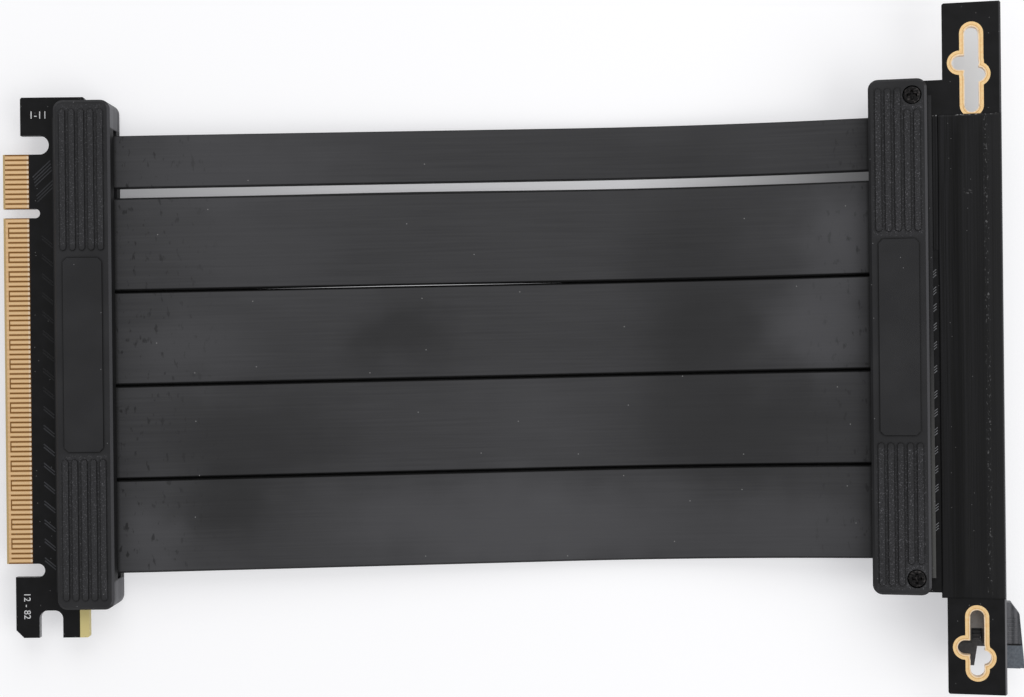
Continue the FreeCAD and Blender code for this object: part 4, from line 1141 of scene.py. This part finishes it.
def film_sheet(material):
    """The film as one sheet that lies on the board and rises over the pins, wider at its upper part."""
    across, along = FILM_ACROSS, FILM_ALONG
    work = bmesh.new()
    grid = []
    for i in range(across + 1):
        u = FILM_LOW[0] + (FILM_HIGH[0] - FILM_LOW[0]) * i / across
        ys = [FILM_LOW[1] + (FILM_HIGH[1] - FILM_LOW[1]) * j / along for j in range(along + 1)]
        grid.append([work.verts.new((u, y, film_height(u, y))) for y in ys])
    for i in range(across):
        for j in range(along):
            work.faces.new((grid[i][j], grid[i + 1][j], grid[i + 1][j + 1], grid[i][j + 1])).smooth = True
    rim = [grid[i][0] for i in range(across + 1)]
    rim += [grid[across][j] for j in range(1, along + 1)]
    rim += [grid[i][along] for i in range(across - 1, -1, -1)]
    rim += [grid[0][j] for j in range(along - 1, 0, -1)]
    foot = [work.verts.new((vert.co.x, vert.co.y, FILM_BASE)) for vert in rim]
    join_loops(work, rim, foot)
    work.faces.new(foot)
    add_box(work, FILM_TAB_LOW, FILM_TAB_HIGH)
    mesh = mesh_from(work, "film_sheet", SOCKET_PLACE)
    piece("film_sheet", mesh, BODY, material, ["insulation_film"])


# Mounting slots: a round-ended slot with a lobe to its left and its right. Each has its middle, its length,
# the rise of each lobe from its middle, and the rise of a point that is inside all three.
# A seam's two borders stop short of the film by a gap each
SLOT_HALF = 1.55
LOBE_HALF = 1.65
LOBE_LEFT = 4.0
LOBE_RIGHT = 2.9
LAND = 0.8
WALL = 0.17
SEAM = (0.16, 0.25)
SEAM_GAPS = (0.12, 0.08)
SEAM_HEIGHT = 0.01
FARTHEST = 30.0
HALVINGS = 40
MOUNT_SLOTS = [
    {"middle": 56.3, "length": 17.6, "left": 1.4, "right": -1.0, "from": 0.2},
    {"middle": -59.5, "length": 13.8, "left": -0.9, "right": -2.9, "from": -1.9},
]


def reach(origin, direction, start, end, radius):
    """How far a ray runs inside a round-ended slot, found by halving."""
    low, high = 0.0, FARTHEST
    for _ in range(HALVINGS):
        middle = (low + high) / 2
        point = origin + direction * middle
        along = end - start
        share = max(0.0, min(1.0, (point - start).dot(along) / along.length_squared))
        inside = (point - start - along * share).length < radius
        low, high = (middle, high) if inside else (low, middle)
    return low


def slot_outline(slot, grow, count=144):
    """Outline of a cross-shaped mounting slot, grown by a margin, seen from a point inside all its arms."""
    middle = slot["middle"]
    half = slot["length"] / 2 - SLOT_HALF
    axis = SLOT_AXIS
    left_y = middle + slot["left"]
    right_y = middle + slot["right"]
    arms = [
        (Vector((axis, middle - half)), Vector((axis, middle + half)), SLOT_HALF),
        (Vector((axis - LOBE_LEFT + LOBE_HALF, left_y)), Vector((axis, left_y)), LOBE_HALF),
        (Vector((axis, right_y)), Vector((axis + LOBE_RIGHT - LOBE_HALF, right_y)), LOBE_HALF),
    ]
    origin = Vector((axis, middle + slot["from"]))
    outline = []
    for index in range(count):
        angle = 2 * math.pi * index / count
        direction = Vector((math.cos(angle), math.sin(angle)))
        far = max(reach(origin, direction, start, end, radius + grow) for start, end, radius in arms)
        outline.append(origin + direction * far)
    return outline


def add_ring(work, loops):
    """Close four outlines of equal counts into a flat ring."""
    rings = [[work.verts.new(point) for point in loop] for loop in loops]
    for first, second in zip(rings, rings[1:] + rings[:1]):
        join_loops(work, first, second)


def back_lands(material):
    """Plated lands round the mounting slots on the board's underside."""
    low, high = -HALF_BOARD - PLATING, -HALF_BOARD
    work = bmesh.new()
    for slot in MOUNT_SLOTS:
        corners = ((0.0, low), (LAND, low), (LAND, high), (0.0, high))
        add_ring(work, [[(p.x, p.y, z) for p in slot_outline(slot, grow)] for grow, z in corners])
    mesh = mesh_from(work, "back_lands", SOCKET_PLACE)
    piece("back_lands", mesh, BODY, material)


def land_seams(material):
    """The seam between a land's plated wall and its face, as a fine darker line that stops at the film."""
    low = HALF_BOARD + PLATING
    high = low + SEAM_HEIGHT
    inner, outer = zip(SEAM, SEAM_GAPS)
    work = bmesh.new()
    for slot in MOUNT_SLOTS:
        stop = FILM_EDGE if slot["middle"] > 0 else -math.inf
        loops = []
        for (grow, gap), z in ((inner, low), (outer, low), (outer, high), (inner, high)):
            loops.append([(p.x, max(p.y, stop + gap), z) for p in slot_outline(slot, grow)])
        add_ring(work, loops)
    mesh = mesh_from(work, "land_seams", SOCKET_PLACE)
    piece("land_seams", mesh, BODY, material)


def slot_walls(material):
    """The plated walls of the mounting slots, through the board and level with the lands."""
    low, high = -HALF_BOARD - PLATING, HALF_BOARD + PLATING + SEAM_HEIGHT
    work = bmesh.new()
    for slot in MOUNT_SLOTS:
        corners = ((-WALL, low), (0.0, low), (0.0, high), (-WALL, high))
        add_ring(work, [[(p.x, p.y, z) for p in slot_outline(slot, grow)] for grow, z in corners])
    mesh = mesh_from(work, "slot_walls", SOCKET_PLACE)
    piece("slot_walls", mesh, BODY, material)


TICK = (0.85, 0.15, math.radians(42))
TICK_X = 12.5
TICK_RISE = 0.1
TICK_STEP = -0.55
TICK_COUNT = 3
TICK_GROUPS = (15.4, 11.9, 8.5, 4.6, 0.8, -4.0, -9.1, -12.8, -16.6, -20.4, -24.3, -28.1, -32.0, -35.9)


def strip_traces(material):
    """Groups of three short slanted traces on the strip of board between the cover and the film."""
    starts = [(TICK_X, middle + TICK_RISE, HALF_BOARD) for middle in TICK_GROUPS]
    rows = [(start, (0.0, TICK_STEP, 0.0), TICK_COUNT) for start in starts]
    mesh = rows_of("strip_traces", slanted_strips(*TICK), rows, material, SOCKET_PLACE)
    piece("strip_traces", mesh, BODY, material)


# Ribs on the latch: the lowest and highest corner of one, and a row of them with its start, step and count
LATCH_RIBS = {
    "paddle_ribs": (
        (0.0, -0.15, 0.0), (2.6, 0.15, 0.15),
        ((25.85, -55.6, -6.2), (0.06, -0.8, 0.0), 6),
    ),
    "arm_ribs": (
        (-0.8, -0.17, 0.0), (0.8, 0.17, 0.3),
        ((SLOT_AXIS, -56.95, -3.6), (0.0, -0.75, 0.0), 4),
    ),
}


def latch_ribs(material):
    """Low grip ridges across the upper part of the latch's paddle, and small ones on top of its arm."""
    for name, (low, high, row) in LATCH_RIBS.items():
        work = bmesh.new()
        add_box(work, low, high)
        mesh = rows_of(name, work, [row], material, SOCKET_PLACE)
        piece(name, mesh, LATCH_BODY, material)


# Build


def paint(node_names, material):
    """Give CAD nodes a finished material."""
    for name in node_names:
        frame["nodes"][name].material_slots[0].material = material


def dress():
    """Make every piece, and give the solids that stay in view their finishes."""
    jacket = ribbon_jacket()
    for name, edge, width in RIBBON_ROWS:
        front = name.format("front")
        ribbon(front, edge + FRONT_MARGIN, width - 2 * FRONT_MARGIN, LAYER_OFFSET, jacket)
        margin = BACK_MARGIN if name.startswith("lane") else 0.0
        sway = SWAY if name.endswith("1") else 0.0
        back = name.format("back")
        ribbon(back, edge - margin, width + 2 * margin, -LAYER_OFFSET, jacket, sway)
    fingers = finger_gold()
    lands = land_gold("soft_gold_lands", "#ffdfa6", "#ffd192")
    edge_fingers("fingers_front", HALF_BOARD, FINGER_TOP, FRONT_PAIRS, fingers, "plug_contacts_front")
    edge_fingers("fingers_back", -FINGER_TOP, -HALF_BOARD, BACK_PAIRS, fingers, "plug_contacts_back")
    traces = covered_copper()
    plug_traces(traces)
    ink = printed_ink()
    for name, number in NUMBERS.items():
        printed_text(name, *number, ink)
    screw = black_screw()
    cover_screws("plug_screws", PLUG_COVER_BACK, "plug_cover_screws", screw)
    cover_screws("socket_screws", SOCKET_COVER_FRONT, "socket_cover_screws", screw)
    spring_contacts("springs_left", -1, "socket_contacts_left", fingers)
    spring_contacts("springs_right", 1, "socket_contacts_right", fingers)
    housing = housing_plastic()
    slot_combs(housing)
    film_sheet(insulation_film())
    back_lands(lands)
    land_seams(land_gold("soft_gold_seams", "#e4b67c", "#d8a76c"))
    slot_walls(land_gold("soft_gold_walls", "#ffe9cf", "#f6d9b4"))
    strip_traces(traces)
    latch = latch_plastic()
    latch_ribs(latch)
    paint(["plug_board"], solder_mask("solder_mask_plug", UP, plug_laminate))
    paint(["socket_board"], solder_mask("solder_mask_socket", SOCKET_FACE, socket_edge_highlight))
    sides = [f"{end}_{{}}_{face}" for end in ("plug", "socket") for face in ("front", "back")]
    paint([side.format("cover") for side in sides], cover_plastic())
    paint([side.format("conductors") for side in sides], tinned_copper())
    paint(["mounting_rings"], lands)
    paint(["socket_housing"], housing)
    paint(["socket_latch"], latch)


# Floor, light and camera

FLOOR_HALF = 6000.0
FLOOR_Z = -0.05
FLOOR_GLOW = 0.46
PAPER = (0.6, 0.6, 0.6, 1.0)
SURROUND = 0.5

# Soft boxes: name, place in metres, size and power
SOFT_BOXES = [
    ("softbox_far", (0.1, 0.72, 0.7), 0.8, 3.4),
    ("softbox_right", (0.68, -0.3, 0.66), 0.8, 3.8),
]

# The camera: place and nearest sight in metres, roll, lens and sensor
CAMERA_AT = (-0.0001, 0.00094, 0.36)
CAMERA_ROLL = math.radians(-0.6)
NEAREST = 0.01
LENS = 60.44
SENSOR = 36.0

# Painted shade on the paper: under the cable's long slit, more towards the covers, and under its slots.
# A place is a middle, a reach and a soft border along X and along Y.
# An end is where its shade starts along X, where it is full, and its strength
SHADE = "#000000"
SLIT_PLACE = ((-2.0, 84.0, 1.0), (34.5, 4.0, 1.0))
SLIT_SHADE = 0.25
SLIT_ENDS = [(-35.0, -82.0, 0.42), (25.0, 76.0, 0.85)]
SLOT_SHADES = [
    ((97.1, 3.9, 1.5), (58.6, 9.3, 1.5), 0.66),
    ((97.1, 3.9, 1.5), (-61.9, 7.5, 1.5), 0.12),
]


def seen_directly(tree, strength):
    """A strength where the eye, a mirror or a glass looks straight at the surface, and nought elsewhere."""
    path = add_node(tree, "ShaderNodeLightPath")
    direct = path.outputs["Is Camera Ray"]
    for ray in ("Is Glossy Ray", "Is Transmission Ray"):
        both = add_node(tree, "ShaderNodeMath", {"operation": "MAXIMUM"}, {0: direct, 1: path.outputs[ray]})
        direct = both.outputs[0]
    return add_node(tree, "ShaderNodeMath", {"operation": "MULTIPLY"}, {0: direct, 1: strength}).outputs[0]


def floor():
    """White paper under the cable: it glows a little to the eye, so that only covered places turn grey,
    and it takes painted shade under the long slit and the mounting slots.
    """
    work = bmesh.new()
    corners = [(-1, -1), (1, -1), (1, 1), (-1, 1)]
    work.faces.new([work.verts.new((x * FLOOR_HALF, y * FLOOR_HALF, FLOOR_Z)) for x, y in corners])
    mesh = mesh_from(work, "paper_floor")
    material = bpy.data.materials.new("white_paper")
    material.use_nodes = True
    tree = material.node_tree
    tree.nodes.clear()
    diffuse = add_node(tree, "ShaderNodeBsdfDiffuse", {}, {"Color": PAPER})
    place = add_node(tree, "ShaderNodeTexCoord").outputs["Object"]
    axes = add_node(tree, "ShaderNodeSeparateXYZ", {}, {0: place})
    x, y = axes.outputs[0], axes.outputs[1]
    slit = [within(tree, x, *SLIT_PLACE[0]), within(tree, y, *SLIT_PLACE[1])]
    coats = [(SHADE, *slit, SLIT_SHADE)]
    for start, full, strength in SLIT_ENDS:
        ramp = add_node(tree, "ShaderNodeMapRange", {}, {0: x, 1: start * MM, 2: full * MM})
        coats.append((SHADE, *slit, ramp.outputs[0], strength))
    for along, across, strength in SLOT_SHADES:
        coats.append((SHADE, within(tree, x, *along), within(tree, y, *across), strength))
    glow = {"Color": lay_coats(tree, "#fbfbff", coats), "Strength": seen_directly(tree, FLOOR_GLOW)}
    glowing = add_node(tree, "ShaderNodeEmission", {}, glow)
    both = add_node(tree, "ShaderNodeAddShader", {}, {0: diffuse.outputs[0], 1: glowing.outputs[0]})
    add_node(tree, "ShaderNodeOutputMaterial", {}, {"Surface": both.outputs[0]})
    mesh.materials.append(material)
    obj = new_object("paper_floor", mesh)


def area_light(name, at, size, power):
    """A square soft box that looks at the part."""
    data = bpy.data.lights.new(name, "AREA")
    data.size = size
    data.energy = power
    obj = new_object(name, data)
    obj.location = at
    obj.rotation_euler = (-Vector(at)).to_track_quat("-Z", "Y").to_euler()


def world():
    """Dim even surround, so that black plastics keep their depth."""
    scene_world = bpy.data.worlds.new("studio")
    bpy.context.scene.world = scene_world
    scene_world.use_nodes = True
    tree = scene_world.node_tree
    tree.nodes.clear()
    background = add_node(tree, "ShaderNodeBackground", {}, {"Color": (1, 1, 1, 1), "Strength": SURROUND})
    add_node(tree, "ShaderNodeOutputWorld", {}, {"Surface": background.outputs[0]})


def camera():
    """Straight down from the height that the photograph's perspective gives."""
    data = bpy.data.cameras.new("camera")
    data.sensor_width = SENSOR
    data.lens = LENS
    data.clip_start = NEAREST
    obj = new_object("camera", data)
    obj.location = CAMERA_AT
    obj.rotation_euler = (0.0, 0.0, CAMERA_ROLL)
    bpy.context.scene.camera = obj


dress()
floor()
world()
for soft_box in SOFT_BOXES:
    area_light(*soft_box)
camera()
bpy.context.scene.view_settings.view_transform = "Standard"
